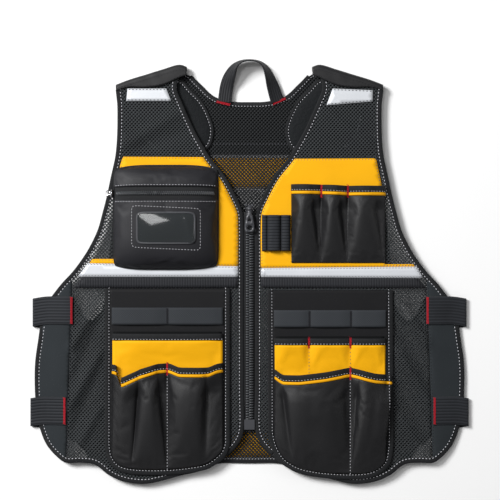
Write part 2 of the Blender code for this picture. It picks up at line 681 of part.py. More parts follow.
def pouch_point(across, up, lift=0.0):
    """Point on the chest pouch's swelling, across and up from -1 to 1."""
    top, foot, outer, inner = POUCH_BOX
    corner = 1.0 - POUCH_TAPER * abs(up) ** POUCH_CORNER_POWER
    x = (outer + inner) / 2 + (inner - outer) / 2 * across * corner
    y = (top + foot) / 2 + (top - foot) / 2 * up
    swell = (1 - across ** POUCH_SWELL_POWER) * (1 - up ** POUCH_SWELL_POWER)
    height = CHEST_POUCH_BULGE * math.sqrt(max(swell, 0.0))
    place = at(y, x)
    base = TRIM_TOP + PIECE_GAP + POCKET_WALL / 2
    return Vector((place.x, place.y, base + height + lift))


def pouch_sheet(name, rows, finish, across=POUCH_ACROSS, wall=POCKET_WALL, lift=0.0):
    grid = [[pouch_point(a, up, lift) for a in across] for up in rows]
    return loft(name, grid, wall, finish)


def make_chest_pouch():
    """Swelling pouch closed by a zip, with a clear card window sewn to its front."""
    gap = PIECE_GAP / ((POUCH_BOX[0] - POUCH_BOX[1]) * VEST_LENGTH / 2)
    upper, lower = POUCH_ZIP
    pouch_sheet("chest_pouch_lid", POUCH_LID_ROWS + (upper + gap,), "nylon")
    zip_across = tuple(a for a in POUCH_ACROSS if a > -0.95)
    pouch_sheet("chest_pouch_zip", (upper, lower), "zip", zip_across)
    pouch_sheet("chest_pouch_front", (lower - gap,) + POUCH_FRONT_ROWS, "nylon")
    left, right, top, foot = WINDOW_SPAN
    across = [left + (right - left) * share for share in WINDOW_COLUMNS]
    rows = [top + (foot - top) * share for share in WINDOW_ROWS]
    lift = POCKET_WALL / 2 + WINDOW_WALL / 2 + 2 * PIECE_GAP
    pouch_sheet("pouch_window", rows, "window", across, WINDOW_WALL, lift)


# The straps

def make_strap(side, label, name, top, inner, reach):
    """Elastic strap sewn to the front, folded round the free edge and back to the back."""
    seated = SIDE_WALL / 2 + PIECE_GAP + STRAP_WALL / 2
    above = BINDING_WALL / 2 + PIECE_GAP + STRAP_SAG + STRAP_WALL / 2
    low = STRAP_WALL / 2 + PIECE_GAP
    start = inner * HALF_WIDTH
    high = SIDE_EDGE_HEIGHT + above
    radius = (high - low) / 2
    bend = reach * HALF_WIDTH - STRAP_WALL / 2 - radius
    head = at(top, 0.0).y
    section = []
    for step in range(STRAP_STEPS):
        x = start + (bend - start) * step / STRAP_STEPS
        height = max(front_height(Vector((x, head))), SIDE_EDGE_HEIGHT)
        section.append((x, height + (above if step else seated)))
    section.append((bend, high))
    for turn in range(1, BEND_STEPS):
        angle = math.pi * (0.5 - turn / BEND_STEPS)
        section.append((bend + radius * math.cos(angle), low + radius * (1 + math.sin(angle))))
    section.append((bend, low))
    section.append((BACK_SIDE[1][1] * HALF_WIDTH + 2 * PIECE_GAP, low))
    rows = []
    for index, (x, height) in enumerate(section):
        y = head - STRAP_SLANT * smooth_step((index - BEND_STEPS) / (len(section) - STRAP_STEPS))
        rows.append([Vector((side * x, y, height)),
                     Vector((side * x, y - STRAP_WIDTH, height))])
    loft("elastic_strap_" + name + "_" + label, rows, STRAP_WALL, "binding")


# The zip pulls

def cutter_collection():
    found = bpy.data.collections.get("cutters")
    if not found:
        found = bpy.data.collections.new("cutters")
        bpy.context.scene.collection.children.link(found)
    return found


def take_mesh(name, finish=None):
    """Keep the primitive just made, as a named piece or as a hidden cutter."""
    item = bpy.context.active_object
    item.name = name
    for owner in list(item.users_collection):
        owner.objects.unlink(item)
    if finish:
        item.data.materials.append(FINISHES[finish].material)
        bpy.data.collections["utility_work_vest"].objects.link(item)
    else:
        cutter_collection().objects.link(item)
        item.hide_render = True
        item.display_type = "WIRE"
    return item


def block(name, centre, size, finish=None):
    bpy.ops.mesh.primitive_cube_add(size=1.0)
    item = take_mesh(name, finish)
    for vertex in item.data.vertices:
        for axis in range(3):
            vertex.co[axis] *= size[axis]
    item.location = centre
    return item


def rod(name, centre, radius, length, along_x, finish=None, sides=12):
    """Round bar along X or Y."""
    bpy.ops.mesh.primitive_cylinder_add(vertices=sides, radius=radius, depth=length)
    item = take_mesh(name, finish)
    turn = (0.0, math.pi / 2, 0.0) if along_x else (math.pi / 2, 0.0, 0.0)
    item.rotation_euler = turn
    item.location = centre
    return item


def join(target, tool, operation):
    step = target.modifiers.new(tool.name, "BOOLEAN")
    step.operation = operation
    step.object = tool
    return target


def make_slider(name, axis_point, along_x, width, length, low, finish):
    """Slider body with two ears and the pin that carries the pull."""
    body_centre = Vector((axis_point.x, axis_point.y, low + SLIDER_WALL / 2))
    size = (width, length, SLIDER_WALL)
    slider = block(name, body_centre, size, finish)
    ear_height = axis_point.z - low + PIN_RADIUS + PIN_CLEARANCE
    ear_mid = (width if along_x else length) / 2 - EAR_WIDTH / 2
    across = Vector((1.0, 0.0, 0.0)) if along_x else Vector((0.0, 1.0, 0.0))
    ear_size = (EAR_WIDTH, EAR_DEPTH, ear_height)
    if not along_x:
        ear_size = (EAR_DEPTH, EAR_WIDTH, ear_height)
    for sign in (-1, 1):
        centre = Vector((axis_point.x, axis_point.y, low + ear_height / 2))
        ear = block(name + "_ear", centre + across * sign * ear_mid, ear_size)
        join(slider, ear, "UNION")
    pin = rod(name + "_pin", axis_point, PIN_RADIUS, 2 * ear_mid, along_x)
    join(slider, pin, "UNION")
    return slider


def make_pull(name, axis_point, along_x, knuckle, width, length, finish, direction):
    """Pull plate hanging on a knuckle round the slider's pin, with a finger hole."""
    outer = PIN_RADIUS + PIN_CLEARANCE + KNUCKLE_WALL
    pull = rod(name, axis_point, outer, knuckle, along_x, finish)
    run = Vector((0.0, -1.0, 0.0)) if along_x else Vector((direction, 0.0, 0.0))
    reach = length - outer
    neck_size = (knuckle, reach, PULL_WALL) if along_x else (reach, knuckle, PULL_WALL)
    start = axis_point + run * (PIN_RADIUS + PIN_CLEARANCE + reach / 2)
    join(pull, block(name + "_neck", start, neck_size), "UNION")
    ring = length * PULL_RING
    ring_size = (width, ring, PULL_WALL) if along_x else (ring, width, PULL_WALL)
    ring_at = axis_point + run * (length - ring / 2)
    join(pull, block(name + "_ring", ring_at, ring_size), "UNION")
    hole_size = (width * PULL_HOLE_ACROSS, ring * PULL_HOLE_ALONG, 4 * PULL_WALL)
    if not along_x:
        hole_size = (ring * PULL_HOLE_ALONG, width * PULL_HOLE_ACROSS, 4 * PULL_WALL)
    join(pull, block(name + "_hole", ring_at, hole_size), "DIFFERENCE")
    bore = rod(name + "_bore", axis_point, PIN_RADIUS + PIN_CLEARANCE, 2 * width, along_x)
    join(pull, bore, "DIFFERENCE")
    return pull


def make_sliders(teeth_top):
    knuckle_radius = PIN_RADIUS + PIN_CLEARANCE + KNUCKLE_WALL
    low = teeth_top + PIECE_GAP
    axis_height = low + SLIDER_WALL + PIECE_GAP + knuckle_radius
    main = at(*MAIN_SLIDER)
    point = Vector((main.x, main.y, axis_height))
    make_slider("zip_slider", point, True, SLIDER_WIDTH, SLIDER_LENGTH, low, "zip")
    gap_between_ears = SLIDER_WIDTH - 2 * EAR_WIDTH - 4 * PIECE_GAP
    make_pull("zip_pull", point, True, gap_between_ears, PULL_WIDTH, PULL_LENGTH, "zip", 0)

    low = TRIM_TOP + PIECE_GAP
    axis_height = low + SLIDER_WALL + PIECE_GAP + knuckle_radius
    outer = POUCH_BOX[2] * HALF_WIDTH - PIECE_GAP - POUCH_SLIDER_LENGTH / 2
    middle = (POUCH_BOX[0] + POUCH_BOX[1]) / 2
    half = (POUCH_BOX[0] - POUCH_BOX[1]) / 2
    along = middle + half * (POUCH_ZIP[0] + POUCH_ZIP[1]) / 2
    point = Vector((outer, at(along, 0.0).y, axis_height))
    make_slider("pouch_slider", point, False, POUCH_SLIDER_LENGTH, POUCH_SLIDER_WIDTH, low,
                "metal")
    gap_between_ears = POUCH_SLIDER_WIDTH - 2 * EAR_WIDTH - 4 * PIECE_GAP
    make_pull("pouch_pull", point, False, gap_between_ears, POUCH_PULL_WIDTH,
              POUCH_PULL_LENGTH, "metal", -1.0)


def make_scene():
    clear_scene()
    collection = bpy.data.collections.new("utility_work_vest")
    bpy.context.scene.collection.children.link(collection)
    make_finishes()
    make_back()
    make_back_bands()
    make_hang_loop()
    for side, label in ((-1.0, "left"), (1.0, "right")):
        make_front(side, label)
        make_shoulder(side, label)
        make_lower_unit(side, label)
        for name, top, inner, reach in STRAPS:
            make_strap(side, label, name, top, inner, reach)
    make_front_trims()
    make_tool_pocket()
    make_chest_pouch()
    teeth_top = make_zip()
    make_sliders(teeth_top)


make_scene()
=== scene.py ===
"""Utility work vest lying on its back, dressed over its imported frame.

Metres, in the frame's own axes: +X across the vest, +Y toward the collar, +Z up.
Shares along run from the hem to the top of the loop, shares out from the centre to the side.
"""

import logging
import math
from dataclasses import dataclass, field
from enum import Enum
from typing import Callable, Optional, Sequence

import bmesh
import bpy
import numpy as np
from bpy.types import ID, Material, Node, NodeSocket, NodeTree, Object
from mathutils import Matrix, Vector
from mathutils.bvhtree import BVHTree
from mathutils.geometry import delaunay_2d_cdt


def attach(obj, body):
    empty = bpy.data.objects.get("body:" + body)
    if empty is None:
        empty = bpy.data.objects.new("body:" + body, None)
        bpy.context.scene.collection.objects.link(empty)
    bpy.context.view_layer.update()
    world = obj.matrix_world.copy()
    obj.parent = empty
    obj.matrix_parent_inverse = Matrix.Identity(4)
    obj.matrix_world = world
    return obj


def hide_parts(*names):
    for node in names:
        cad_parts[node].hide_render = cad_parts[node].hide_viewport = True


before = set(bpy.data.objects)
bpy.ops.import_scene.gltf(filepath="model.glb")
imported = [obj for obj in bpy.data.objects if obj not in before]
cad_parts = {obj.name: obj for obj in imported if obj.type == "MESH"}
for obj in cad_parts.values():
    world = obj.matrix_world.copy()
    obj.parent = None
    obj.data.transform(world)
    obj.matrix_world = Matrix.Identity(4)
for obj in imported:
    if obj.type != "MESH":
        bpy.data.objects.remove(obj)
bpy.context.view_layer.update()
LOG = logging.getLogger("vest")

Array = np.ndarray
Shares = Sequence[tuple[float, ...]]

HALF_WIDTH = 0.310
LENGTH = 0.600
BODY = "vest"

# Heights of the layers, from the floor up
BACK_MID = 0.0022
BACK_TOP = 0.0031
FRONT_MID = 0.01035
TRIM_MID = 0.0119
TRIM_TOP = 0.0124
FLAP_MID = 0.0129
BACKING_MID = 0.01285
BACKING_TOP = 0.01355
LINING_TOP = 0.01505
SIDE_EDGE = 0.0042
FOLD_RADIUS = (FLAP_MID - BACK_MID) / 2
GAP = 0.0003
BINDING_WIDTH = 0.0075
BINDING_WALL = 0.0030
TRIM_WALL = 0.0010

# Distance between the points of a drawn edge, of a straight seam and of a curved one
EDGE_STEP = 0.004
LINE_STEP = 0.003
SEAM_STEP = 0.002

# Stitches: the length and spacing of each, and the radius of its thread
STITCH = {"Stitch": 0.0028, "Pitch": 0.0048, "Radius": 0.00055}
FINE_STITCH = {"Stitch": 0.0024, "Pitch": 0.0043, "Radius": 0.00042}
TACK = {"Stitch": 0.0022, "Pitch": 0.0010, "Radius": 0.00040}
THREAD_LIFT = 0.0001
TACK_LIFT = 0.0002
TACK_WIDTH = 0.0024

# Zip teeth: their spacing, how far each stands aside, and their sizes
FRONT_TEETH = {"Pitch": 0.0018, "Shift": 0.0023, "Width": 0.0062, "Height": 0.0021,
               "Length": 0.0022}
POUCH_TEETH = {"Pitch": 0.0014, "Shift": 0.0011, "Width": 0.0034, "Height": 0.0020,
               "Length": 0.0018}

SETTLE_FRAMES = 14
CLOTH_SETTINGS = {
    "quality": 6, "mass": 0.15, "tension_stiffness": 12.0, "compression_stiffness": 12.0,
    "shear_stiffness": 5.0, "bending_stiffness": 0.06, "air_damping": 2.0,
    "vertex_group_mass": "sewn",
}

FRONT_EDGE = [  # along, out: the neck's V, then down beside the zip
    (0.969, 0.311), (0.945, 0.327), (0.926, 0.329), (0.900, 0.309), (0.862, 0.277),
    (0.825, 0.243), (0.794, 0.209), (0.769, 0.180), (0.724, 0.111), (0.675, 0.059),
    (0.639, 0.030), (0.597, 0.025), (0.555, 0.025), (0.527, 0.025), (0.499, 0.025),
    (0.459, 0.025), (0.339, 0.025), (0.222, 0.025), (0.128, 0.025),
]
LOWER_CORNER = [(0.104, 0.039), (0.085, 0.064), (0.066, 0.104)]  # along, out
FRONT_HEM = [  # along, out: the lobed hem, from the zip outwards
    (0.048, 0.145), (0.031, 0.220), (0.019, 0.318), (0.006, 0.410), (0.000, 0.480),
    (0.006, 0.573), (0.021, 0.640), (0.046, 0.705), (0.050, 0.770), (0.050, 0.836),
]
FRONT_CORNER = [(0.062, 0.873), (0.090, 0.923)]  # along, out
FRONT_SIDE = [  # along, out: the free outer edge, from the hem up to under the arm
    (0.128, 0.955), (0.175, 0.973), (0.233, 0.980), (0.287, 0.978), (0.339, 0.964),
    (0.386, 0.950), (0.421, 0.932), (0.442, 0.900),
]
FRONT_ARM = [  # along, out: the front armhole, from under the arm up to the shoulder
    (0.470, 0.857), (0.499, 0.805), (0.527, 0.764), (0.555, 0.730), (0.597, 0.691),
    (0.639, 0.668), (0.675, 0.650), (0.724, 0.630), (0.769, 0.611), (0.794, 0.605),
    (0.825, 0.602), (0.862, 0.601), (0.893, 0.602), (0.912, 0.606), (0.926, 0.609),
]
SIDE_SEAM = [(0.482, 0.806), (0.459, 0.807), (0.339, 0.816), (0.222, 0.824), (0.054, 0.834)]
BACK_NECK = [  # along, out: from the centre out to the shoulder
    (0.899, 0.000), (0.900, 0.073), (0.909, 0.148), (0.921, 0.184), (0.935, 0.211),
    (0.949, 0.239), (0.963, 0.264),
]
SHOULDER_FOLD = [  # along, out, flap: the fold and how far its flap reaches down the front
    (0.980, 0.286, 0.018), (0.985, 0.318, 0.030), (0.974, 0.395, 0.037),
    (0.962, 0.470, 0.030), (0.949, 0.552, 0.016), (0.938, 0.607, 0.013),
]
BACK_ARM = [  # along, out: the back armhole, from the shoulder round under the arm
    (0.895, 0.594), (0.820, 0.591), (0.738, 0.600), (0.668, 0.614), (0.597, 0.630),
    (0.527, 0.643), (0.468, 0.652), (0.426, 0.664), (0.398, 0.686), (0.384, 0.720),
    (0.393, 0.755), (0.416, 0.779), (0.436, 0.805),
]
BACK_SIDE = [  # along, out
    (0.421, 0.845), (0.339, 0.852), (0.233, 0.850), (0.139, 0.843), (0.110, 0.826),
    (0.082, 0.765),
]
BACK_HEM = [  # along, out: from the side in to the centre
    (0.050, 0.722), (0.036, 0.682), (0.017, 0.627), (0.004, 0.555), (0.000, 0.480),
    (0.008, 0.391), (0.019, 0.318), (0.034, 0.215), (0.046, 0.136), (0.047, 0.000),
]
SHOULDER_PAD = [  # along, out: a leaf on the back's inner face
    (0.952, 0.318), (0.928, 0.268), (0.897, 0.212), (0.862, 0.178), (0.838, 0.164),
    (0.815, 0.166), (0.792, 0.184), (0.770, 0.250), (0.768, 0.350), (0.790, 0.450),
    (0.830, 0.505), (0.885, 0.520), (0.918, 0.500), (0.940, 0.420),
]
LOOP_ROUTE = [  # along, out, tilt: middle of the hang loop and its lean in degrees
    (0.898, -0.114, 4.0), (0.935, -0.104, 8.0), (0.962, -0.088, 35.0),
    (0.981, -0.068, 60.0), (0.992, -0.038, 74.0), (0.9953, 0.002, 78.0),
    (0.991, 0.046, 76.0), (0.979, 0.072, 66.0), (0.960, 0.090, 50.0),
    (0.935, 0.106, 28.0), (0.900, 0.127, 6.0),
]
UNIT_OUTLINE = {  # along, out: lower pocket units, from the zip's side round below
    "left": [
        (0.460, 0.088), (0.094, 0.088), (0.069, 0.107), (0.051, 0.143), (0.036, 0.189),
        (0.029, 0.248), (0.022, 0.389), (0.026, 0.561), (0.038, 0.616), (0.062, 0.648),
        (0.088, 0.658), (0.460, 0.658),
    ],
    "right": [
        (0.456, 0.081), (0.121, 0.083), (0.088, 0.098), (0.055, 0.134), (0.035, 0.184),
        (0.023, 0.243), (0.013, 0.384), (0.015, 0.543), (0.028, 0.602), (0.050, 0.640),
        (0.090, 0.655), (0.456, 0.652),
    ],
}
WEBBING_TACKS = {"left": (0.415, (0.120, 0.373, 0.625)),
                 "right": (0.409, (0.111, 0.272, 0.460, 0.620))}
UPPER_MOUTH = {"left": (0.354, (0.122, 0.622)), "right": (0.343, (0.115, 0.270, 0.458, 0.616))}
LOWER_MOUTH = {  # along, out: top edge of each lower pocket's rim, from the zip outwards
    "left": [
        (0.286, 0.116), (0.284, 0.150), (0.276, 0.185), (0.276, 0.317), (0.284, 0.357),
        (0.285, 0.373), (0.284, 0.420), (0.273, 0.489), (0.250, 0.584), (0.2815, 0.597),
        (0.282, 0.630),
    ],
    "right": [
        (0.272, 0.111), (0.258, 0.148), (0.258, 0.225), (0.265, 0.339), (0.273, 0.430),
        (0.275, 0.457), (0.271, 0.498), (0.262, 0.566), (0.256, 0.665),
    ],
}
LOWER_TACKS = {"left": (0.122, 0.373, 0.622), "right": (0.116, 0.457, 0.616)}
TOOL_MOUTH = [(0.704, 0.191), (0.703, 0.326), (0.700, 0.446), (0.700, 0.620)]  # along, out
TOOL_TACKS = (0.191, 0.326, 0.446, 0.616)
PEN_TACKS = (0.058, 0.080, 0.143, 0.185)
PLEAT_CELL = {  # mouth, foot, height: lower pockets' cells, from the zip outwards
    "left": ([(0.00, 0.00, 0.00), (0.06, 0.05, 0.12), (0.22, 0.24, 0.16), (0.29, 0.31, 0.02),
              (0.33, 0.38, 0.50), (0.38, 0.44, 0.92), (0.52, 0.56, 1.00), (0.76, 0.76, 0.88),
              (0.92, 0.93, 0.52)],
             [(0.00, 0.00, 0.00), (0.05, 0.005, 0.04), (0.16, 0.02, 0.05), (0.21, 0.05, 0.70),
              (0.29, 0.22, 1.00), (0.42, 0.50, 0.90), (0.48, 0.61, 0.45), (0.51, 0.65, 0.04),
              (0.55, 0.68, 0.36), (0.75, 0.82, 0.50), (0.95, 0.97, 0.26)]),
    "right": ([(0.00, 0.00, 0.00), (0.02, 0.05, 0.10), (0.05, 0.16, 0.12), (0.09, 0.23, 0.06),
               (0.13, 0.28, 0.66), (0.24, 0.36, 0.96), (0.48, 0.55, 1.00), (0.74, 0.78, 0.90),
               (0.87, 0.93, 0.52), (0.93, 0.98, 0.08)],
              [(0.00, 0.00, 0.00), (0.10, 0.01, 0.05), (0.21, 0.03, 0.06), (0.28, 0.06, 0.66),
               (0.42, 0.20, 1.00), (0.70, 0.50, 0.86), (0.95, 0.82, 0.80), (1.18, 0.95, 0.42)]),
}
MOUTH_STEP = {"left": (0.585, 0.597), "right": (-1.0, -1.0)}  # rim's gap at a step
TOOL_CELL = [  # mouth, foot, height: a tool slot, its ridge wide below and narrow above
    (0.00, 0.00, 0.00), (0.14, 0.03, 0.50), (0.28, 0.12, 0.92), (0.42, 0.42, 1.00),
    (0.56, 0.80, 0.80), (0.66, 0.93, 0.30), (0.71, 0.965, 0.02), (0.92, 0.985, 0.05),
]
BOW_CELL = [  # mouth, foot, height: webbing or cloth held between two bartacks
    (0.00, 0.00, 0.00), (0.18, 0.18, 0.80), (0.50, 0.50, 1.00), (0.82, 0.82, 0.80),
]
POCKET_DROP = [(0.00, 1.00), (0.30, 0.92), (0.62, 0.62), (0.86, 0.26), (1.00, 0.00)]
OPEN_DROP = [(0.00, 1.00), (1.00, 1.00)]  # down, fullness
POUCH_BOX = (0.747, 0.506, -0.615, -0.145)  # top, foot, outer and inner edge of the pouch
POUCH_ZIP = (0.591, 0.339)  # upper and lower edge of its zip, from -1 at its foot to 1


# Measuring and smoothing

CURVE_STEPS = 24  # points between two of a drawn curve's places


def at(along: float, out: float, side: float = 1.0) -> tuple[float, float]:
    """Place on the flat vest of a pair of shares; side -1 is the half at -X."""
    return side * out * HALF_WIDTH, up_at(along)


def up_at(along: float) -> float:
    """Place up the vest of a share of its length."""
    return (along - 0.5) * LENGTH


def places(table: Shares, side: float = 1.0) -> Array:
    """A table of shares as an array of places in metres."""
    return np.array([at(row[0], row[1], side) for row in table])


def smooth_step(share: Array) -> Array:
    """Ease from 0 to 1 with level ends."""
    share = np.clip(share, 0.0, 1.0)
    return share * share * (3 - 2 * share)


def lengths(path: Array) -> Array:
    """Distance run along a path at each of its points."""
    steps = np.linalg.norm(np.diff(path, axis=0), axis=1)
    return np.concatenate([[0.0], np.cumsum(steps)])


def resample(path: Array, step: float) -> Array:
    """Evenly spaced points on a path, its two ends kept."""
    run = lengths(path)
    count = max(2, int(round(run[-1] / step)) + 1)
    marks = np.linspace(0.0, run[-1], count)
    return np.stack([np.interp(marks, run, path[:, k]) for k in range(path.shape[1])], axis=1)


def looped(path: Array) -> Array:
    """A closed path with its first point repeated at its end."""
    return np.concatenate([path, path[:1]])


def ring_of(path: Array, step: float) -> Array:
    """Evenly spaced points round a closed path."""
    return resample(looped(path), step)[:-1]


def plumb(x: float, high: float, low: float) -> Array:
    """Evenly spaced points on a line straight down the vest."""
    return resample(np.array([(x, high), (x, low)]), LINE_STEP)


def level_path(path: Array, height: float) -> Array:
    """A flat path at one height."""
    return np.column_stack([path, np.full(len(path), height)])


def tangents(path: Array, closed: bool) -> Array:
    """Direction along a path at each of its points."""
    if closed:
        return np.roll(path, -1, axis=0) - np.roll(path, 1, axis=0)
    return np.gradient(path, axis=0)


def unit(rows: Array) -> Array:
    """Each row scaled to a length of one."""
    return rows / np.maximum(np.linalg.norm(rows, axis=1), 1e-12)[:, None]


def smooth_path(points: Array, step: float = 0.003, closed: bool = False) -> Array:
    """Curve through the points, evenly resampled.

    Args:
        points: places or rows with any number of columns.
        step: distance between the new points.
        closed: whether the last point joins the first.

    Returns:
        The resampled curve; a closed one doesn't repeat its first point.
    """
    pts = np.asarray(points, float)
    if closed:
        pts = np.concatenate([pts[-2:], pts, pts[:3]])
    else:
        pts = np.concatenate([[2 * pts[0] - pts[1]], pts, [2 * pts[-1] - pts[-2]]])
    pieces = []
    for a, b, c, d in zip(pts[:-3], pts[1:-2], pts[2:-1], pts[3:]):
        knots = [0.0]
        for p, q in ((a, b), (b, c), (c, d)):
            knots.append(knots[-1] + max(np.linalg.norm(q[:2] - p[:2]), 1e-9) ** 0.5)
        t0, t1, t2, t3 = knots
        t = np.linspace(t1, t2, CURVE_STEPS, endpoint=False)[:, None]
        ab = (t1 - t) / (t1 - t0) * a + (t - t0) / (t1 - t0) * b
        bc = (t2 - t) / (t2 - t1) * b + (t - t1) / (t2 - t1) * c
        cd = (t3 - t) / (t3 - t2) * c + (t - t2) / (t3 - t2) * d
        low = (t2 - t) / (t2 - t0) * ab + (t - t0) / (t2 - t0) * bc
        high = (t3 - t) / (t3 - t1) * bc + (t - t1) / (t3 - t1) * cd
        pieces.append((t2 - t) / (t2 - t1) * low + (t - t1) / (t2 - t1) * high)
    whole = np.concatenate(pieces)
    if closed:
        return ring_of(whole[CURVE_STEPS:-CURVE_STEPS], step)
    return resample(np.concatenate([whole, pts[-2:-1]]), step)


def smooth_profile(table: Shares, key: int, value: int) -> tuple[Array, Array]:
    """A table's two columns as a rounded, steadily rising curve to read with np.interp."""
    rows = np.array([[row[key], row[value]] for row in sorted(table, key=lambda r: r[key])])
    x, y = rows[:, 0], rows[:, 1]
    slope = np.gradient(y, x)
    fine = np.linspace(x[0], x[-1], 120)
    index = np.clip(np.searchsorted(x, fine) - 1, 0, len(x) - 2)
    width = x[index + 1] - x[index]
    t = (fine - x[index]) / width
    curve = ((2 * t ** 3 - 3 * t ** 2 + 1) * y[index] + (t ** 3 - 2 * t ** 2 + t) * width
             * slope[index] + (3 * t ** 2 - 2 * t ** 3) * y[index + 1]
             + (t ** 3 - t ** 2) * width * slope[index + 1])
    return fine, curve


def offset(path: Array, distance: float, closed: bool = False) -> Array:
    """Path moved to its left, in the flat.

    Args:
        path: flat points, or points with heights that stay as they are.
        distance: how far; below 0 it moves to the right.
        closed: whether the last point joins the first.

    Returns:
        The moved path.
    """
    along = unit(tangents(path, closed)[:, :2])
    moved = path.copy()
    moved[:, 0] -= along[:, 1] * distance
    moved[:, 1] += along[:, 0] * distance
    return moved


def nearest(path: Array, place: Sequence[float]) -> int:
    """Index of the path's point nearest to a place."""
    return int(np.argmin(np.linalg.norm(path[:, :2] - np.array(place)[:2], axis=1)))


def stretch_of(path: Array, start: Sequence[float], end: Sequence[float]) -> Array:
    """The part of a path between the points nearest to two places."""
    a, b = nearest(path, start), nearest(path, end)
    return path[a:b + 1] if a <= b else path[b:a + 1][::-1]


def inside(points: Array, outline: Array) -> Array:
    """Which points lie inside a closed outline."""
    x, y = points[:, 0], points[:, 1]
    result = np.zeros(len(points), bool)
    for (x0, y0), (x1, y1) in zip(outline[:, :2], np.roll(outline[:, :2], -1, axis=0)):
        if y0 == y1:
            continue
        crosses = (y0 > y) != (y1 > y)
        result ^= crosses & (x < (x1 - x0) * (y - y0) / (y1 - y0) + x0)
    return result


def edge_distance(points: Array, outline: Array) -> Array:
    """Distance from each point to a closed outline."""
    starts = outline[:, :2]
    ends = np.roll(starts, -1, axis=0)
    best = np.full(len(points), 1e9)
    for a, b in zip(starts, ends):
        run = b - a
        share = np.clip(((points[:, :2] - a) @ run) / max(run @ run, 1e-12), 0.0, 1.0)
        best = np.minimum(best, np.linalg.norm(points[:, :2] - a - share[:, None] * run, axis=1))
    return best


def ripple(x: Array, y: Array, scale: float, seed: int) -> Array:
    """Smooth uneven swell of about -1 to 1, the same on every run.

    Args:
        x: places across.
        y: places along.
        scale: usual distance between two crests.
        seed: picks the pattern.

    Returns:
        The swell at each place.
    """
    chance = np.random.default_rng(seed)
    total = np.zeros_like(x)
    for _ in range(7):
        angle, phase = chance.uniform(0, math.tau, 2)
        pitch = scale * chance.uniform(0.7, 1.6)
        run = (x * math.cos(angle) + y * math.sin(angle)) / pitch * math.tau
        bend = 1.2 * np.sin((x * math.sin(angle) - y * math.cos(angle)) / pitch * 2.3 + phase)
        total += np.sin(run + bend + phase)
    return total / 4.2


@dataclass(frozen=True)
class Crease:
    """One soft fold in the cloth: two ends as shares (along, out), its width and height."""

    start: tuple[float, float]
    end: tuple[float, float]
    width: float
    height: float

    def rise(self, x: Array, y: Array) -> Array:
        """Height that the fold adds at each place."""
        a, b = np.array(at(*self.start)), np.array(at(*self.end))
        run = b - a
        long = float(np.linalg.norm(run))
        ahead = ((x - a[0]) * run[0] + (y - a[1]) * run[1]) / long
        aside = ((x - a[0]) * run[1] - (y - a[1]) * run[0]) / long
        over = np.maximum(np.maximum(-ahead, ahead - long), 0.0)
        return self.height * np.exp(-(aside / self.width) ** 2 - (over / (2 * self.width)) ** 2)


DRAPE = (  # folds of the two fronts where no pocket holds them
    Crease((0.420, -0.700), (0.330, -0.800), 0.0055, 0.0041),
    Crease((0.380, -0.685), (0.250, -0.800), 0.0060, -0.0022),
    Crease((0.300, -0.690), (0.190, -0.810), 0.0060, 0.0041),
    Crease((0.240, -0.700), (0.130, -0.800), 0.0055, -0.0020),
    Crease((0.170, -0.690), (0.080, -0.790), 0.0050, 0.0031),
    Crease((0.420, 0.690), (0.340, 0.800), 0.0055, 0.0041),
    Crease((0.360, 0.680), (0.270, 0.800), 0.0060, -0.0022),
    Crease((0.300, 0.690), (0.200, 0.810), 0.0060, 0.0044),
    Crease((0.220, 0.690), (0.120, 0.800), 0.0055, -0.0020),
    Crease((0.150, 0.690), (0.080, 0.790), 0.0050, 0.0027),
    Crease((0.870, -0.330), (0.800, -0.560), 0.0080, 0.0024),
    Crease((0.830, -0.300), (0.790, -0.480), 0.0080, -0.0012),
    Crease((0.880, 0.340), (0.800, 0.540), 0.0080, 0.0024),
    Crease((0.840, 0.300), (0.780, 0.520), 0.0080, -0.0012),
)


def front_height(x: Array, y: Array) -> Array:
    """Middle of the front layer: it sinks toward the floor past the side seam, and drapes."""
    out = np.abs(x) / HALF_WIDTH
    along = y / LENGTH + 0.5
    sink = smooth_step((out - 0.807) / (0.980 - 0.807)) * smooth_step((0.50 - along) / 0.04)
    height = FRONT_MID - (FRONT_MID - SIDE_EDGE) * sink
    for crease in DRAPE:
        height = height + crease.rise(x, y) * (1 - sink)
    return height + 0.00022 * ripple(x, y, 0.045, 4)


# Making meshes

@dataclass
class Sheet:
    """A cloth's middle surface: its points, its faces and its flat places in metres."""

    points: Array
    faces: list[tuple[int, ...]]
    flat: Array

    def normals(self) -> Array:
        """Direction out of the cloth at each point."""
        total = np.zeros_like(self.points)
        for size in (3, 4):
            group = np.array([f for f in self.faces if len(f) == size], int)
            if len(group) == 0:
                continue
            corner = self.points[group]
            cross = np.cross(corner[:, 2] - corner[:, 0],
                             corner[:, -1] - corner[:, 1] if size == 4
                             else corner[:, 1] - corner[:, 0])
            if size == 3:
                cross = -cross
            for k in range(size):
                np.add.at(total, group[:, k], cross)
        return unit(total)

    def rim(self) -> list[tuple[int, int]]:
        """Directed edges that only one face uses."""
        found: dict[tuple[int, int], int] = {}
        for face in self.faces:
            for a, b in zip(face, face[1:] + face[:1]):
                found[(a, b)] = 1
        return [edge for edge in found if (edge[1], edge[0]) not in found]


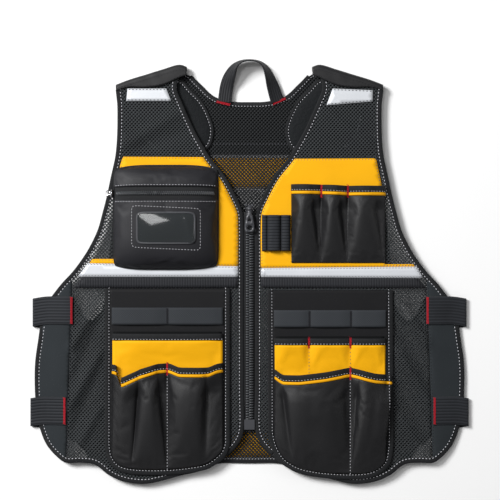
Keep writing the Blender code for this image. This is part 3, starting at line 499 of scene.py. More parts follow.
def grid_sheet(rows: Array) -> Sheet:
    """Sheet through a grid of points, facing up where its rows run down the vest."""
    high, wide = rows.shape[:2]
    points = rows.reshape(-1, 3)
    index = np.arange(high * wide).reshape(high, wide)
    a, b = index[:-1, :-1].ravel(), index[1:, :-1].ravel()
    c, d = index[1:, 1:].ravel(), index[:-1, 1:].ravel()
    faces = [tuple(int(v) for v in face) for face in zip(a, b, c, d)]
    across = np.linalg.norm(np.diff(rows, axis=1, prepend=rows[:, :1]), axis=2).cumsum(axis=1)
    down = np.linalg.norm(np.diff(rows, axis=0, prepend=rows[:1]), axis=2).cumsum(axis=0)
    mean_across = np.broadcast_to(across.mean(axis=0), (high, wide))
    mean_down = np.broadcast_to(down.mean(axis=1)[:, None], (high, wide))
    flat = np.stack([mean_across, -mean_down], axis=2).reshape(-1, 2)
    return turned_up(Sheet(points, faces, flat))


def turned_up(sheet: Sheet) -> Sheet:
    """The same sheet with its faces turned so that most of it faces up."""
    if sheet.normals()[:, 2].sum() < 0:
        sheet.faces = [tuple(reversed(face)) for face in sheet.faces]
    return sheet


def panel_sheet(outline: Array, height: Callable[[Array, Array], Array], step: float) -> Sheet:
    """Sheet that fills an outline with an even net of triangles.

    Args:
        outline: closed outline, its points about a step apart.
        height: gives the height at arrays of x and y.
        step: distance between the net's points.

    Returns:
        The sheet, its flat places equal to x and y.
    """
    low, high = outline.min(axis=0), outline.max(axis=0)
    rise = step * math.sqrt(3) / 2
    found = []
    for row, y in enumerate(np.arange(low[1], high[1], rise)):
        x = np.arange(low[0] + (row % 2) * step / 2, high[0], step)
        found.append(np.stack([x, np.full_like(x, y)], axis=1))
    net = np.concatenate(found)
    net = net[inside(net, outline)]
    net = net[edge_distance(net, outline) > 0.55 * step]
    every = [Vector(p) for p in np.concatenate([outline[:, :2], net])]
    done = delaunay_2d_cdt(every, [], [list(range(len(outline)))], 1, 1e-7)
    flat = np.array([(p.x, p.y) for p in done[0]])
    points = np.column_stack([flat, height(flat[:, 0], flat[:, 1])])
    return turned_up(Sheet(points, [tuple(face) for face in done[2]], flat))


def flat_height(level: float) -> Callable[[Array, Array], Array]:
    """Height function of a level surface."""
    return lambda x, y: np.full_like(x, level)


def over_front(above: float) -> Callable[[Array, Array], Array]:
    """Height function of a layer that follows the front cloth from above it."""
    return lambda x, y: front_height(x, y) + above


def straight(table: Shares, side: float = 1.0, step: float = 0.004) -> Array:
    """Closed outline with straight sides between shares, its points a step apart."""
    corners = looped(places(table, side))
    parts = [resample(np.array(pair), step)[:-1] for pair in zip(corners[:-1], corners[1:])]
    return np.concatenate(parts)


def show(name: str, data: ID) -> Object:
    """New object in the scene, at the origin."""
    item = bpy.data.objects.new(name, data)
    bpy.context.scene.collection.objects.link(item)
    return item


def relaxed(sheet: Sheet, pinned: Array, growth: float, pressure: float, cap: float) -> Sheet:
    """Let a sheet settle as cloth that is a little too large for its sewn edges.

    Args:
        sheet: the sheet to settle.
        pinned: which of its points are sewn down.
        growth: share by which the cloth is larger than its place.
        pressure: push from inside, as of a stuffed piece.
        cap: furthest that a point may move.
    """
    mesh = bpy.data.meshes.new("settling")
    mesh.from_pydata(sheet.points.tolist(), [], sheet.faces)
    item = show("settling", mesh)
    group = item.vertex_groups.new(name="sewn")
    group.add([int(i) for i in np.flatnonzero(pinned)], 1.0, "REPLACE")
    cloth = item.modifiers.new("cloth", "CLOTH")
    for key, value in CLOTH_SETTINGS.items():
        setattr(cloth.settings, key, value)
    cloth.settings.shrink_min = -growth
    cloth.settings.use_pressure = pressure > 0
    cloth.settings.uniform_pressure_force = pressure
    cloth.settings.effector_weights.gravity = 0.0
    cloth.collision_settings.use_collision = False
    scene = bpy.context.scene
    for step in range(1, SETTLE_FRAMES + 1):
        scene.frame_set(step)
    shown = item.evaluated_get(bpy.context.evaluated_depsgraph_get())
    moved = np.array([v.co for v in shown.data.vertices])
    scene.frame_set(1)
    bpy.data.objects.remove(item)
    shift = moved - sheet.points
    far = np.linalg.norm(shift, axis=1)[:, None]
    shift *= np.minimum(1.0, cap / np.maximum(far, 1e-9))
    return Sheet(sheet.points + shift, sheet.faces, sheet.flat)


# Finishes

class Weave(Enum):
    """How a cloth is made, which sets its relief."""

    PLAIN = "plain"
    RIBS_ACROSS = "ribs_across"
    RIBS_ALONG = "ribs_along"
    NET = "net"
    KNIT = "knit"
    SMOOTH = "smooth"


class Graph:
    """Adds nodes to one tree and joins them."""

    def __init__(self, tree: NodeTree) -> None:
        """Work on one tree."""
        self.tree = tree

    def add(self, kind: str, inputs: Optional[dict[object, object]] = None,
            **options: object) -> Node:
        """Add a node, set its options and feed its inputs.

        Args:
            kind: the node's type.
            inputs: what each input takes, a socket or a value, by its name or number.
            options: the node's own settings.

        Returns:
            The node.
        """
        node = self.tree.nodes.new(kind)
        for key, value in options.items():
            setattr(node, key, value)
        for key, value in (inputs or {}).items():
            self.feed(node.inputs[key], value)
        return node

    def feed(self, socket: NodeSocket, value: object) -> None:
        """Link a socket to another, or set its value."""
        if isinstance(value, NodeSocket):
            self.tree.links.new(value, socket)
        else:
            socket.default_value = value

    def math(self, operation: str, a: object, b: object = 0.0, c: Optional[float] = None,
             clamp: bool = False) -> NodeSocket:
        """Result of a sum on up to three numbers."""
        inputs = {0: a, 1: b} if c is None else {0: a, 1: b, 2: c}
        return self.add("ShaderNodeMath", inputs, operation=operation, use_clamp=clamp).outputs[0]

    def mix(self, share: object, a: object, b: object) -> NodeSocket:
        """Colour between two colours."""
        return self.add("ShaderNodeMix", {0: share, 6: a, 7: b}, data_type="RGBA").outputs[2]

    def noise(self, place: object, scale: object, detail: float) -> NodeSocket:
        """Cloudy value from 0 to 1."""
        return self.add("ShaderNodeTexNoise", {"Vector": place, "Scale": scale,
                                               "Detail": detail}).outputs[0]


def new_effect(name: str, inputs: dict[str, Optional[float]],
               outputs: Sequence[str]) -> tuple[Graph, Node, Node]:
    """Start a shader node group.

    Args:
        name: the group's name.
        inputs: each input's first value, or None for a place.
        outputs: names of its value outputs.

    Returns:
        The group's graph, its input node and its output node.
    """
    tree = bpy.data.node_groups.new(name, "ShaderNodeTree")
    for label, value in inputs.items():
        kind = "NodeSocketVector" if value is None else "NodeSocketFloat"
        socket = tree.interface.new_socket(label, in_out="INPUT", socket_type=kind)
        if value is not None:
            socket.default_value = value
    for label in outputs:
        tree.interface.new_socket(label, in_out="OUTPUT", socket_type="NodeSocketFloat")
    graph = Graph(tree)
    return graph, graph.add("NodeGroupInput"), graph.add("NodeGroupOutput")


class Effects:
    """The shader node groups that several finishes share, each built once."""

    built: dict[str, NodeTree] = {}

    @classmethod
    def get(cls, name: str) -> NodeTree:
        """A group by name, built at its first use."""
        if name not in cls.built:
            cls.built[name] = getattr(cls, "make_" + name)()
        return cls.built[name]

    @staticmethod
    def split(graph: Graph, place: object) -> tuple[NodeSocket, ...]:
        """The two flat coordinates of a place."""
        node = graph.add("ShaderNodeSeparateXYZ", {0: place})
        return node.outputs[0], node.outputs[1]

    @staticmethod
    def shaded(graph: Graph, place: object, result: Node, height: object,
               grain: float) -> NodeTree:
        """Give out a weave's height, and painted shade from it with some grain: hollows dark,
        crests light.
        """
        graph.feed(result.inputs["Height"], height)
        cloud = graph.noise(place, grain, 2.0)
        graph.feed(result.inputs["Shade"], graph.math("MULTIPLY", height, cloud))
        return graph.tree

    @staticmethod
    def make_plain_weave() -> NodeTree:
        """Warp and weft over and under each other."""
        graph, given, result = new_effect("plain_weave", {"Place": None, "Pitch": 0.0008},
                                          ("Height", "Shade"))
        place = given.outputs["Place"]
        turn = graph.math("DIVIDE", math.pi, given.outputs["Pitch"])
        waves = [graph.math("SINE", graph.math("MULTIPLY", axis, turn))
                 for axis in Effects.split(graph, place)]
        height = graph.math("MULTIPLY_ADD", graph.math("MULTIPLY", *waves), 0.5, 0.5)
        return Effects.shaded(graph, place, result, height, 900.0)

    @staticmethod
    def make_ribs() -> NodeTree:
        """Ribs of a tape: Turn 0 sets them across its length, and 1 along it."""
        graph, given, result = new_effect(
            "ribs", {"Place": None, "Pitch": 0.0012, "Turn": 0.0}, ("Height", "Shade"))
        place = given.outputs["Place"]
        u, v = Effects.split(graph, place)
        turned = graph.math("MULTIPLY", graph.math("SUBTRACT", v, u), given.outputs["Turn"])
        turn = graph.math("DIVIDE", math.pi, given.outputs["Pitch"])
        wave = graph.math("SINE", graph.math("MULTIPLY", graph.math("ADD", u, turned), turn))
        rib = graph.math("POWER", graph.math("ABSOLUTE", wave), 0.6)
        return Effects.shaded(graph, place, result, rib, 1200.0)

    @staticmethod
    def make_net() -> NodeTree:
        """Staggered rows of oval holes, as in warp-knitted net."""
        graph, given, result = new_effect(
            "net", {"Place": None, "Pitch": 0.0051, "Rows": 0.0054, "Hole": 0.30},
            ("Height", "Open"))
        u, v = Effects.split(graph, given.outputs["Place"])
        across = graph.math("DIVIDE", u, given.outputs["Pitch"])
        along = graph.math("DIVIDE", v, given.outputs["Rows"])
        fars = []
        for shift in (0.0, 0.5):
            squares = []
            for run, stretch in ((across, 1.0), (along, 1.35)):
                cell = graph.math("FRACT", graph.math("ADD", run, shift))
                far = graph.math("ABSOLUTE", graph.math("SUBTRACT", cell, 0.5))
                squares.append(graph.math("POWER", graph.math("MULTIPLY", far, stretch), 2.0))
            fars.append(graph.math("SQRT", graph.math("ADD", *squares)))
        nearest_hole = graph.math("MINIMUM", *fars)
        edge = graph.math("SUBTRACT", given.outputs["Hole"], nearest_hole)
        graph.feed(result.inputs["Open"], graph.math("MULTIPLY", edge, 14.0, clamp=True))
        graph.feed(result.inputs["Height"],
                   graph.math("MULTIPLY", nearest_hole, 1.8, clamp=True))
        return graph.tree

    @staticmethod
    def make_handling() -> NodeTree:
        """Uneven tone of used cloth, and flecks of lint on it."""
        graph, given, result = new_effect("handling", {"Place": None, "Spread": 22.0},
                                          ("Tone", "Lint"))
        place = given.outputs["Place"]
        graph.feed(result.inputs["Tone"], graph.noise(place, given.outputs["Spread"], 4.0))
        flecks = graph.math("SUBTRACT", graph.noise(place, 700.0, 1.0), 0.70)
        graph.feed(result.inputs["Lint"], graph.math("MULTIPLY", flecks, 9.0, clamp=True))
        return graph.tree


Color = tuple[float, float, float]

LINT_COLOR = (0.35, 0.35, 0.36, 1.0)
ROUGHNESS_SPREAD = 0.08
TONE_SHARE, SHADE_SHARE = 0.6, 0.5  # of handling's tone and of the weave's painted shade in the tint
RELIEF_STRENGTH = 0.9
SHEEN_ROUGHNESS = 0.4
COAT_ROUGHNESS = 0.08


def hue(red: int, green: int, blue: int) -> Color:
    """Linear colour of an sRGB one."""
    def one(value: int) -> float:
        """Linear value of one channel."""
        share = value / 255
        return share / 12.92 if share <= 0.04045 else ((share + 0.055) / 1.055) ** 2.4
    return one(red), one(green), one(blue)


@dataclass(frozen=True)
class Finish:
    """A cloth, plastic or metal: its colour, gloss and relief, and the record's slot."""

    name: str
    slot: str
    color: Color
    roughness: float
    weave: Weave = Weave.SMOOTH
    pitch: float = 0.0008
    depth: float = 0.0001
    sheen: float = 0.0
    tone: float = 0.25
    lint: float = 0.0
    metallic: float = 0.0
    specular: float = 0.5
    coat: float = 0.0
    see_through: float = 0.0

    def material(self) -> Material:
        """The finish's material, built at its first use."""
        found = bpy.data.materials.get(self.name)
        return found or self.build()

    def relief(self, graph: Graph, place: object) -> tuple[object, object, object]:
        """Height, painted shade and holes of the weave."""
        if self.weave in (Weave.SMOOTH, Weave.KNIT):
            return graph.noise(place, 0.9 / self.pitch, 4.0), 0.5, None
        tree = Effects.get({Weave.PLAIN: "plain_weave", Weave.NET: "net"}.get(self.weave, "ribs"))
        group = graph.add("ShaderNodeGroup", node_tree=tree)
        graph.feed(group.inputs["Place"], place)
        graph.feed(group.inputs["Pitch"], self.pitch)
        # the net's height also serves as its painted shade, darker round each hole
        if self.weave is Weave.NET:
            return group.outputs["Height"], group.outputs["Height"], group.outputs["Open"]
        if self.weave is not Weave.PLAIN:
            graph.feed(group.inputs["Turn"], float(self.weave is Weave.RIBS_ALONG))
        return group.outputs["Height"], group.outputs["Shade"], None

    def build(self) -> Material:
        """Make the material from the shared effects."""
        material = bpy.data.materials.new(self.name)
        material.use_nodes = True
        graph = Graph(material.node_tree)
        shader = material.node_tree.nodes["Principled BSDF"]
        flat = graph.add("ShaderNodeUVMap", uv_map="cloth").outputs[0]
        solid = graph.add("ShaderNodeTexCoord").outputs["Object"]
        height, shade, holes = self.relief(graph, flat)
        handling = graph.add("ShaderNodeGroup", node_tree=Effects.get("handling"))
        graph.feed(handling.inputs["Place"], solid)
        dark = tuple(c * (1 - self.tone) for c in self.color) + (1.0,)
        light = tuple(min(1.0, c * (1 + self.tone)) for c in self.color) + (1.0,)
        # tint from the random tone and from the weave's painted shade
        blend = graph.math("ADD", graph.math("MULTIPLY", handling.outputs["Tone"], TONE_SHARE),
                           graph.math("MULTIPLY", shade, SHADE_SHARE))
        tint = graph.mix(blend, dark, light)
        if self.lint:
            share = graph.math("MULTIPLY", handling.outputs["Lint"], self.lint)
            tint = graph.mix(share, tint, LINT_COLOR)
        rough = graph.math("ADD", graph.math("MULTIPLY", handling.outputs["Tone"],
                                             2 * ROUGHNESS_SPREAD),
                           self.roughness - ROUGHNESS_SPREAD)
        bump = graph.add("ShaderNodeBump", {"Distance": self.depth, "Height": height,
                                            "Strength": RELIEF_STRENGTH})
        alpha = graph.math("SUBTRACT", 1.0, holes) if holes else 1.0 - self.see_through
        for label, value in (("Base Color", tint), ("Roughness", rough),
                             ("Normal", bump.outputs[0]), ("Metallic", self.metallic),
                             ("Specular IOR Level", self.specular),
                             ("Sheen Weight", self.sheen), ("Sheen Roughness", SHEEN_ROUGHNESS),
                             ("Coat Weight", self.coat), ("Coat Roughness", COAT_ROUGHNESS),
                             ("Alpha", alpha)):
            graph.feed(shader.inputs[label], value)
        return material


NET = Finish("open_net", "mesh", hue(39, 42, 44), 0.62, Weave.NET, 0.0051, 0.0012,
             sheen=0.04, tone=0.65, lint=0.06, specular=0.30)
BACK_NET = Finish("back_net", "mesh", hue(22, 24, 26), 0.62, Weave.NET, 0.0051, 0.0010,
                  sheen=0.02, tone=0.45, lint=0.05, specular=0.24)
# dark lining under the back's yoke, also used as the painted shadow strip above each upper
# pocket's mouth
LINING_AND_SHADOW = Finish("dark_lining_and_painted_shadow", "mesh", hue(14, 15, 16), 0.80, Weave.PLAIN, 0.0012, 0.0001,
                specular=0.10)
NYLON = Finish("woven_nylon", "nylon", hue(21, 21, 23), 0.53, Weave.PLAIN, 0.0009, 0.00012,
               sheen=0.02, tone=0.30, lint=0.05, specular=0.38)
PAD_CLOTH = Finish("dark_pad_cloth", "softshell", hue(24, 26, 28), 0.75, Weave.KNIT, 0.0036,
                   0.00120, sheen=0.03, tone=0.45, lint=0.05, specular=0.14)
WAIST = Finish("ribbed_waist", "binding", hue(38, 39, 43), 0.66, Weave.RIBS_ACROSS, 0.0036,
               0.00060, sheen=0.04, tone=0.30, lint=0.05, specular=0.20)
LOOP_TAPE = Finish("loop_tape", "binding", hue(32, 33, 36), 0.62, Weave.RIBS_ALONG, 0.0034,
                   0.00060, sheen=0.04, tone=0.35, lint=0.05, specular=0.22)
BACKING = Finish("backing_cloth", "nylon", hue(24, 24, 26), 0.60, Weave.PLAIN, 0.0010, 0.00010,
                 sheen=0.02, tone=0.25, lint=0.05, specular=0.16)
POUCH_NYLON = Finish("pouch_nylon", "nylon", hue(31, 31, 35), 0.53, Weave.PLAIN, 0.0010,
                     0.00012, sheen=0.03, tone=0.25, lint=0.05, specular=0.28)
SOFTSHELL = Finish("charcoal_knit", "softshell", hue(42, 46, 49), 0.80, Weave.KNIT, 0.0011,
                   0.00022, sheen=0.08, tone=0.22, lint=0.08, specular=0.12)
TAPE = Finish("ribbed_tape", "binding", hue(27, 28, 30), 0.62, Weave.RIBS_ACROSS, 0.0016,
              0.00035, sheen=0.04, tone=0.35, lint=0.06, specular=0.20)
WEBBING = Finish("belt_webbing", "binding", hue(50, 53, 57), 0.66, Weave.PLAIN, 0.0016,
                 0.00030, sheen=0.06, tone=0.25, lint=0.06, specular=0.18)
ELASTIC = Finish("ribbed_elastic", "binding", hue(40, 42, 46), 0.70, Weave.RIBS_ALONG, 0.0042,
                 0.00090, sheen=0.06, tone=0.70, lint=0.06, specular=0.18)
YELLOW = Finish("yellow_cloth", "yellow", hue(244, 176, 10), 0.62, Weave.PLAIN, 0.0011,
                0.00014, tone=0.12, specular=0.14)
YELLOW_TAPE = Finish("yellow_piping", "yellow", hue(240, 170, 12), 0.60, Weave.RIBS_ACROSS,
                     0.0010, 0.00018, tone=0.12, specular=0.14)
SILVER = Finish("reflective_cloth", "silver", hue(214, 217, 222), 0.40, Weave.PLAIN, 0.0007,
                0.00006, tone=0.10, metallic=0.15)
VINYL = Finish("clear_vinyl", "window", hue(46, 50, 52), 0.10, Weave.SMOOTH, 0.05, 0.0,
               tone=0.0, coat=1.0, see_through=0.30)
PLASTIC = Finish("moulded_plastic", "zip", hue(64, 65, 69), 0.34, Weave.SMOOTH, 0.0012,
                 0.00008, tone=0.15)
TOOTH = Finish("zip_tooth", "zip", hue(66, 68, 71), 0.28, Weave.SMOOTH, 0.0008, 0.00005,
               tone=0.15)
PLATED = Finish("plated_zinc", "metal", hue(186, 186, 188), 0.24, Weave.SMOOTH, 0.0010,
                0.00004, tone=0.08, metallic=1.0)
PALE_THREAD = Finish("pale_thread", "binding", hue(214, 214, 220), 0.60, tone=0.06,
                     specular=0.2)
DARK_THREAD = Finish("dark_thread", "binding", hue(34, 34, 38), 0.60, tone=0.10,
                     specular=0.2)
GREY_THREAD = Finish("grey_thread", "binding", hue(104, 104, 110), 0.60, tone=0.10,
                     specular=0.2)
RED_THREAD = Finish("red_thread", "binding", hue(180, 26, 42), 0.58, tone=0.12, specular=0.2)


# Pieces

def placed(item: Object, finish: Finish, nodes: Sequence[str],
           body: str = BODY) -> Object:
    """Set a piece on its body and the CAD nodes that it stands for."""
    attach(item, body)
    if nodes:
        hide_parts(*nodes)
    return item


def piece(name: str, points: Array, faces: Sequence[Sequence[int]], flat: Array,
          finish: Finish, nodes: Sequence[str] = (), body: str = BODY,
          sharp_from: Optional[int] = None) -> Object:
    """Make one finished piece of the vest.

    Args:
        name: the piece's name.
        points: its points in the frame.
        faces: its faces, turned outwards.
        flat: the cloth's own places for each point, in metres.
        finish: its finish.
        nodes: the CAD nodes that it stands for.
        body: the CAD body that it moves with.
        sharp_from: first of the faces that aren't smoothly shaded.

    Returns:
        The object, riding on its body.
    """
    mesh = bpy.data.meshes.new(name)
    mesh.from_pydata(np.asarray(points).tolist(), [], [tuple(face) for face in faces])
    layer = mesh.uv_layers.new(name="cloth")
    index = np.empty(len(mesh.loops), int)
    mesh.loops.foreach_get("vertex_index", index)
    layer.data.foreach_set("uv", np.asarray(flat, float)[index].ravel())
    smooth = np.ones(len(mesh.polygons), bool)
    if sharp_from is not None:
        smooth[sharp_from:] = False
    mesh.polygons.foreach_set("use_smooth", smooth)
    mesh.materials.append(finish.material())
    mesh.update()
    return placed(show(name, mesh), finish, nodes, body)


def walled(name: str, sheet: Sheet, wall: float, finish: Finish,
           nodes: Sequence[str] = (), low_wall: Optional[Array] = None) -> Object:
    """Piece of cloth: a sheet with a wall's thickness on both sides of it.

    Args:
        name: the piece's name.
        sheet: its middle surface.
        wall: its whole thickness.
        finish: its finish.
        nodes: the CAD nodes that it stands for.
        low_wall: extra depth below each point, for a padded piece.

    Returns:
        The finished piece.
    """
    normals = sheet.normals()
    count = len(sheet.points)
    top = sheet.points + normals * wall / 2
    low = sheet.points - normals * wall / 2
    if low_wall is not None:
        low[:, 2] -= low_wall
    faces = list(sheet.faces)
    faces += [tuple(v + count for v in reversed(face)) for face in sheet.faces]
    smooth = len(faces)
    faces += [(b, a, a + count, b + count) for a, b in sheet.rim()]
    return piece(name, np.concatenate([top, low]), faces, np.tile(sheet.flat, (2, 1)), finish,
                 nodes, sharp_from=smooth)


def ring_faces(count: int, sides: int, closed: bool) -> list[tuple[int, ...]]:
    """Faces between rings of points, from each ring to the next."""
    faces = []
    for i in range(count if closed else count - 1):
        j = (i + 1) % count
        for k in range(sides):
            m = (k + 1) % sides
            faces.append((i * sides + k, i * sides + m, j * sides + m, j * sides + k))
    return faces


def tube_mesh(path: Array, width: float, wall: float, closed: bool = False,
              square: float = 0.55, sides: int = 12) -> tuple[Array, list, Array]:
    """Rounded band swept along a path.

    Args:
        path: points with heights.
        width: the band's width, level.
        wall: its thickness, upright.
        closed: whether the last point joins the first.
        square: roundness of its section, from 0 for square to 1 for oval.
        sides: number of its long faces.

    Returns:
        Its points, its faces and its flat places.
    """
    path = np.asarray(path, float)
    tangent = unit(tangents(path, closed))
    side = unit(np.stack([-tangent[:, 1], tangent[:, 0], np.zeros(len(path))], axis=1))
    rise = np.cross(tangent, side)
    turn = np.linspace(0, math.tau, sides, endpoint=False) + math.pi / sides
    a = np.sign(np.cos(turn)) * np.abs(np.cos(turn)) ** square * width / 2
    b = np.sign(np.sin(turn)) * np.abs(np.sin(turn)) ** square * wall / 2
    rings = path[:, None] + side[:, None] * a[None, :, None] + rise[:, None] * b[None, :, None]
    count = len(path)
    faces = ring_faces(count, sides, closed)
    if not closed:
        faces.append(tuple(range(sides))[::-1])
        faces.append(tuple(range((count - 1) * sides, count * sides)))
    run = lengths(path)
    around = np.broadcast_to(a + width / 2, (count, sides))
    flat = np.stack([np.broadcast_to(run[:, None], (count, sides)), around], axis=2)
    return rings.reshape(-1, 3), [f[::-1] for f in faces], flat.reshape(-1, 2)


def band(name: str, path: Array, width: float, wall: float, finish: Finish,
         nodes: Sequence[str] = (), closed: bool = False) -> Object:
    """Rounded band or cord along a path.

    Args:
        name: the piece's name.
        path: points with heights.
        width: its width.
        wall: its thickness.
        finish: its finish.
        nodes: the CAD nodes that it stands for.
        closed: whether the last point joins the first.

    Returns:
        The finished piece.
    """
    points, faces, flat = tube_mesh(path, width, wall, closed)
    return piece(name, points, faces, flat, finish, nodes)


class Ground:
    """The surfaces that thread is laid on, seen from straight above."""

    def __init__(self, items: Sequence[Object]) -> None:
        """Take in the finished pieces that thread may lie on."""
        points: list[Vector] = []
        faces: list[tuple[int, ...]] = []
        for item in items:
            start = len(points)
            points += [v.co.copy() for v in item.data.vertices]
            faces += [tuple(i + start for i in p.vertices) for p in item.data.polygons]
        self.tree = BVHTree.FromPolygons(points, faces)

    def laid(self, path: Array, above: float = THREAD_LIFT) -> Array:
        """The path with the height of what lies under each of its points."""
        rows = []
        for point in path:
            hit = self.tree.ray_cast(Vector((point[0], point[1], 0.1)), Vector((0, 0, -1)))
            rows.append(hit[0].z + above if hit[0] is not None else np.nan)
        height = np.array(rows)
        good = ~np.isnan(height)
        if not good.any():
            return np.empty((0, 3))
        height = np.interp(np.arange(len(height)), np.flatnonzero(good), height[good])
        return np.column_stack([np.asarray(path)[:, :2], height])

    def sew(self, name: str, paths: Sequence[Array], thread: Finish,
            size: Optional[dict[str, float]] = None) -> None:
        """Sew along flat paths, as one piece.

        Args:
            name: the piece's name.
            paths: the seams or bartacks.
            thread: their thread.
            size: the stitches' sizes, or none for fine ones.
        """
        above = TACK_LIFT if size is TACK else THREAD_LIFT
        run_of(name, "thread", [self.laid(path, above) for path in paths], size or FINE_STITCH,
               thread)


# Runs of stitches and teeth

def new_run_tree(name: str, floats: dict[str, float]) -> tuple[NodeTree, Graph,
                                                               Node, Node]:
    """Start a geometry tree with a line to follow, named sizes and a material."""
    tree = bpy.data.node_groups.new(name, "GeometryNodeTree")
    tree.interface.new_socket("Lines", in_out="INPUT", socket_type="NodeSocketGeometry")
    for label, value in floats.items():
        socket = tree.interface.new_socket(label, in_out="INPUT", socket_type="NodeSocketFloat")
        socket.default_value = value
    tree.interface.new_socket("Finish", in_out="INPUT", socket_type="NodeSocketMaterial")
    tree.interface.new_socket("Run", in_out="OUTPUT", socket_type="NodeSocketGeometry")
    graph = Graph(tree)
    return tree, graph, graph.add("NodeGroupInput"), graph.add("NodeGroupOutput")


def spaced_line(graph: Graph, given: Node) -> tuple[NodeSocket, ...]:
    """The given lines with evenly spaced points, their direction and the turn to it."""
    curve = graph.add("GeometryNodeMeshToCurve", {0: given.outputs["Lines"]})
    spaced = graph.add("GeometryNodeResampleCurve", {
        "Curve": curve.outputs[0], "Length": given.outputs["Pitch"]}, mode="LENGTH")
    tangent = graph.add("GeometryNodeInputTangent").outputs[0]
    turn = graph.add("FunctionNodeAlignRotationToVector", {"Vector": tangent}, axis="X")
    return spaced.outputs[0], tangent, turn.outputs[0]


def finish_run(graph: Graph, given: Node, result: Node,
               points: NodeSocket, shape: Node,
               turn: NodeSocket, sizes: Sequence[NodeSocket]) -> None:
    """Set a shape on each point of a run and give it the finish.

    Args:
        graph: the run's graph.
        given: its input node.
        result: its output node.
        points: where the shapes stand.
        shape: node that makes one of size one.
        turn: which way each faces.
        sizes: its three sizes.
    """
    size = graph.add("ShaderNodeCombineXYZ", dict(enumerate(sizes)))
    set_out = graph.add("GeometryNodeInstanceOnPoints", {
        "Points": points, "Instance": shape.outputs["Mesh"], "Rotation": turn,
        "Scale": size.outputs[0]})
    real = graph.add("GeometryNodeRealizeInstances", {0: set_out.outputs[0]})
    shaded = graph.add("GeometryNodeSetShadeSmooth", {"Geometry": real.outputs[0]})
    dressed = graph.add("GeometryNodeSetMaterial", {
        "Geometry": shaded.outputs[0], "Material": given.outputs["Finish"]})
    graph.feed(result.inputs["Run"], dressed.outputs[0])


def thread_tree() -> NodeTree:
    """Stitches along lines: each is a short rounded length of thread."""
    tree, graph, given, result = new_run_tree("thread_run", FINE_STITCH)
    line, _, turn = spaced_line(graph, given)
    grain = graph.add("GeometryNodeMeshIcoSphere", {"Subdivisions": 1, "Radius": 1.0})
    half = graph.math("MULTIPLY", given.outputs["Stitch"], 0.5)
    radius = given.outputs["Radius"]
    finish_run(graph, given, result, line, grain, turn, (half, radius, radius))
    return tree


def tooth_tree() -> NodeTree:
    """Zip teeth along a line, by turns to its left and right."""
    tree, graph, given, result = new_run_tree("tooth_run", FRONT_TEETH)
    line, tangent, turn = spaced_line(graph, given)
    half = graph.math("MULTIPLY", graph.add("GeometryNodeInputIndex").outputs[0], 0.5)
    parity = graph.math("SUBTRACT", graph.math("MULTIPLY", graph.math("FRACT", half), 4.0), 1.0)
    aside = graph.add("ShaderNodeVectorMath", {0: tangent, 1: (0.0, 0.0, 1.0)},
                      operation="CROSS_PRODUCT")
    shift = graph.math("MULTIPLY", parity, given.outputs["Shift"])
    step = graph.add("ShaderNodeVectorMath", {0: aside.outputs[0], "Scale": shift},
                     operation="SCALE")
    held = graph.add("GeometryNodeCaptureAttribute", domain="POINT")
    held.capture_items.new("VECTOR", "Step")
    held.capture_items.new("ROTATION", "Turn")
    for label, value in (("Geometry", line), ("Step", step.outputs[0]), ("Turn", turn)):
        graph.feed(held.inputs[label], value)
    points = graph.add("GeometryNodeCurveToPoints", {"Curve": held.outputs["Geometry"]},
                       mode="EVALUATED")
    moved = graph.add("GeometryNodeSetPosition", {
        "Geometry": points.outputs["Points"], "Offset": held.outputs["Step"]})
    tooth = graph.add("GeometryNodeMeshCylinder", {"Vertices": 8, "Radius": 0.5, "Depth": 1.0},
                      fill_type="NGON")
    finish_run(graph, given, result, moved.outputs[0], tooth, held.outputs["Turn"],
               [given.outputs[label] for label in ("Length", "Width", "Height")])
    return tree


TREES: dict[str, NodeTree] = {}


def run_of(name: str, kind: str, lines: Sequence[Array], sizes: dict[str, float],
           finish: Finish, nodes: Sequence[str] = ()) -> Optional[Object]:
    """Thread or teeth laid along lines, as one finished mesh.

    Args:
        name: the piece's name.
        kind: "thread" or "teeth".
        lines: the lines that it follows.
        sizes: the tree's named sizes that differ from its own.
        finish: its finish.
        nodes: the CAD nodes that it stands for.

    Returns:
        The finished piece, or None where there is no line.
    """
    lines = [line for line in lines if len(line) > 1]
    if not lines:
        return None
    if kind not in TREES:
        TREES[kind] = thread_tree() if kind == "thread" else tooth_tree()
    tree = TREES[kind]
    points = np.concatenate(lines)
    edges, start = [], 0
    for line in lines:
        edges += [(start + k, start + k + 1) for k in range(len(line) - 1)]
        start += len(line)
    mesh = bpy.data.meshes.new(name + "_lines")
    mesh.from_pydata(points.tolist(), edges, [])
    guide = show(name + "_lines", mesh)
    modifier = guide.modifiers.new("run", "NODES")
    modifier.node_group = tree
    for socket in tree.interface.items_tree:
        if socket.in_out == "INPUT" and socket.name in sizes:
            modifier[socket.identifier] = sizes[socket.name]
        if socket.in_out == "INPUT" and socket.name == "Finish":
            modifier[socket.identifier] = finish.material()
    shown = guide.evaluated_get(bpy.context.evaluated_depsgraph_get())
    made = bpy.data.meshes.new_from_object(shown)
    guide.modifiers.remove(modifier)
    bpy.data.objects.remove(guide)
    made.name = name
    if not made.uv_layers:
        made.uv_layers.new(name="cloth")
    made.uv_layers[0].name = "cloth"
    return placed(show(name, made), finish, nodes)


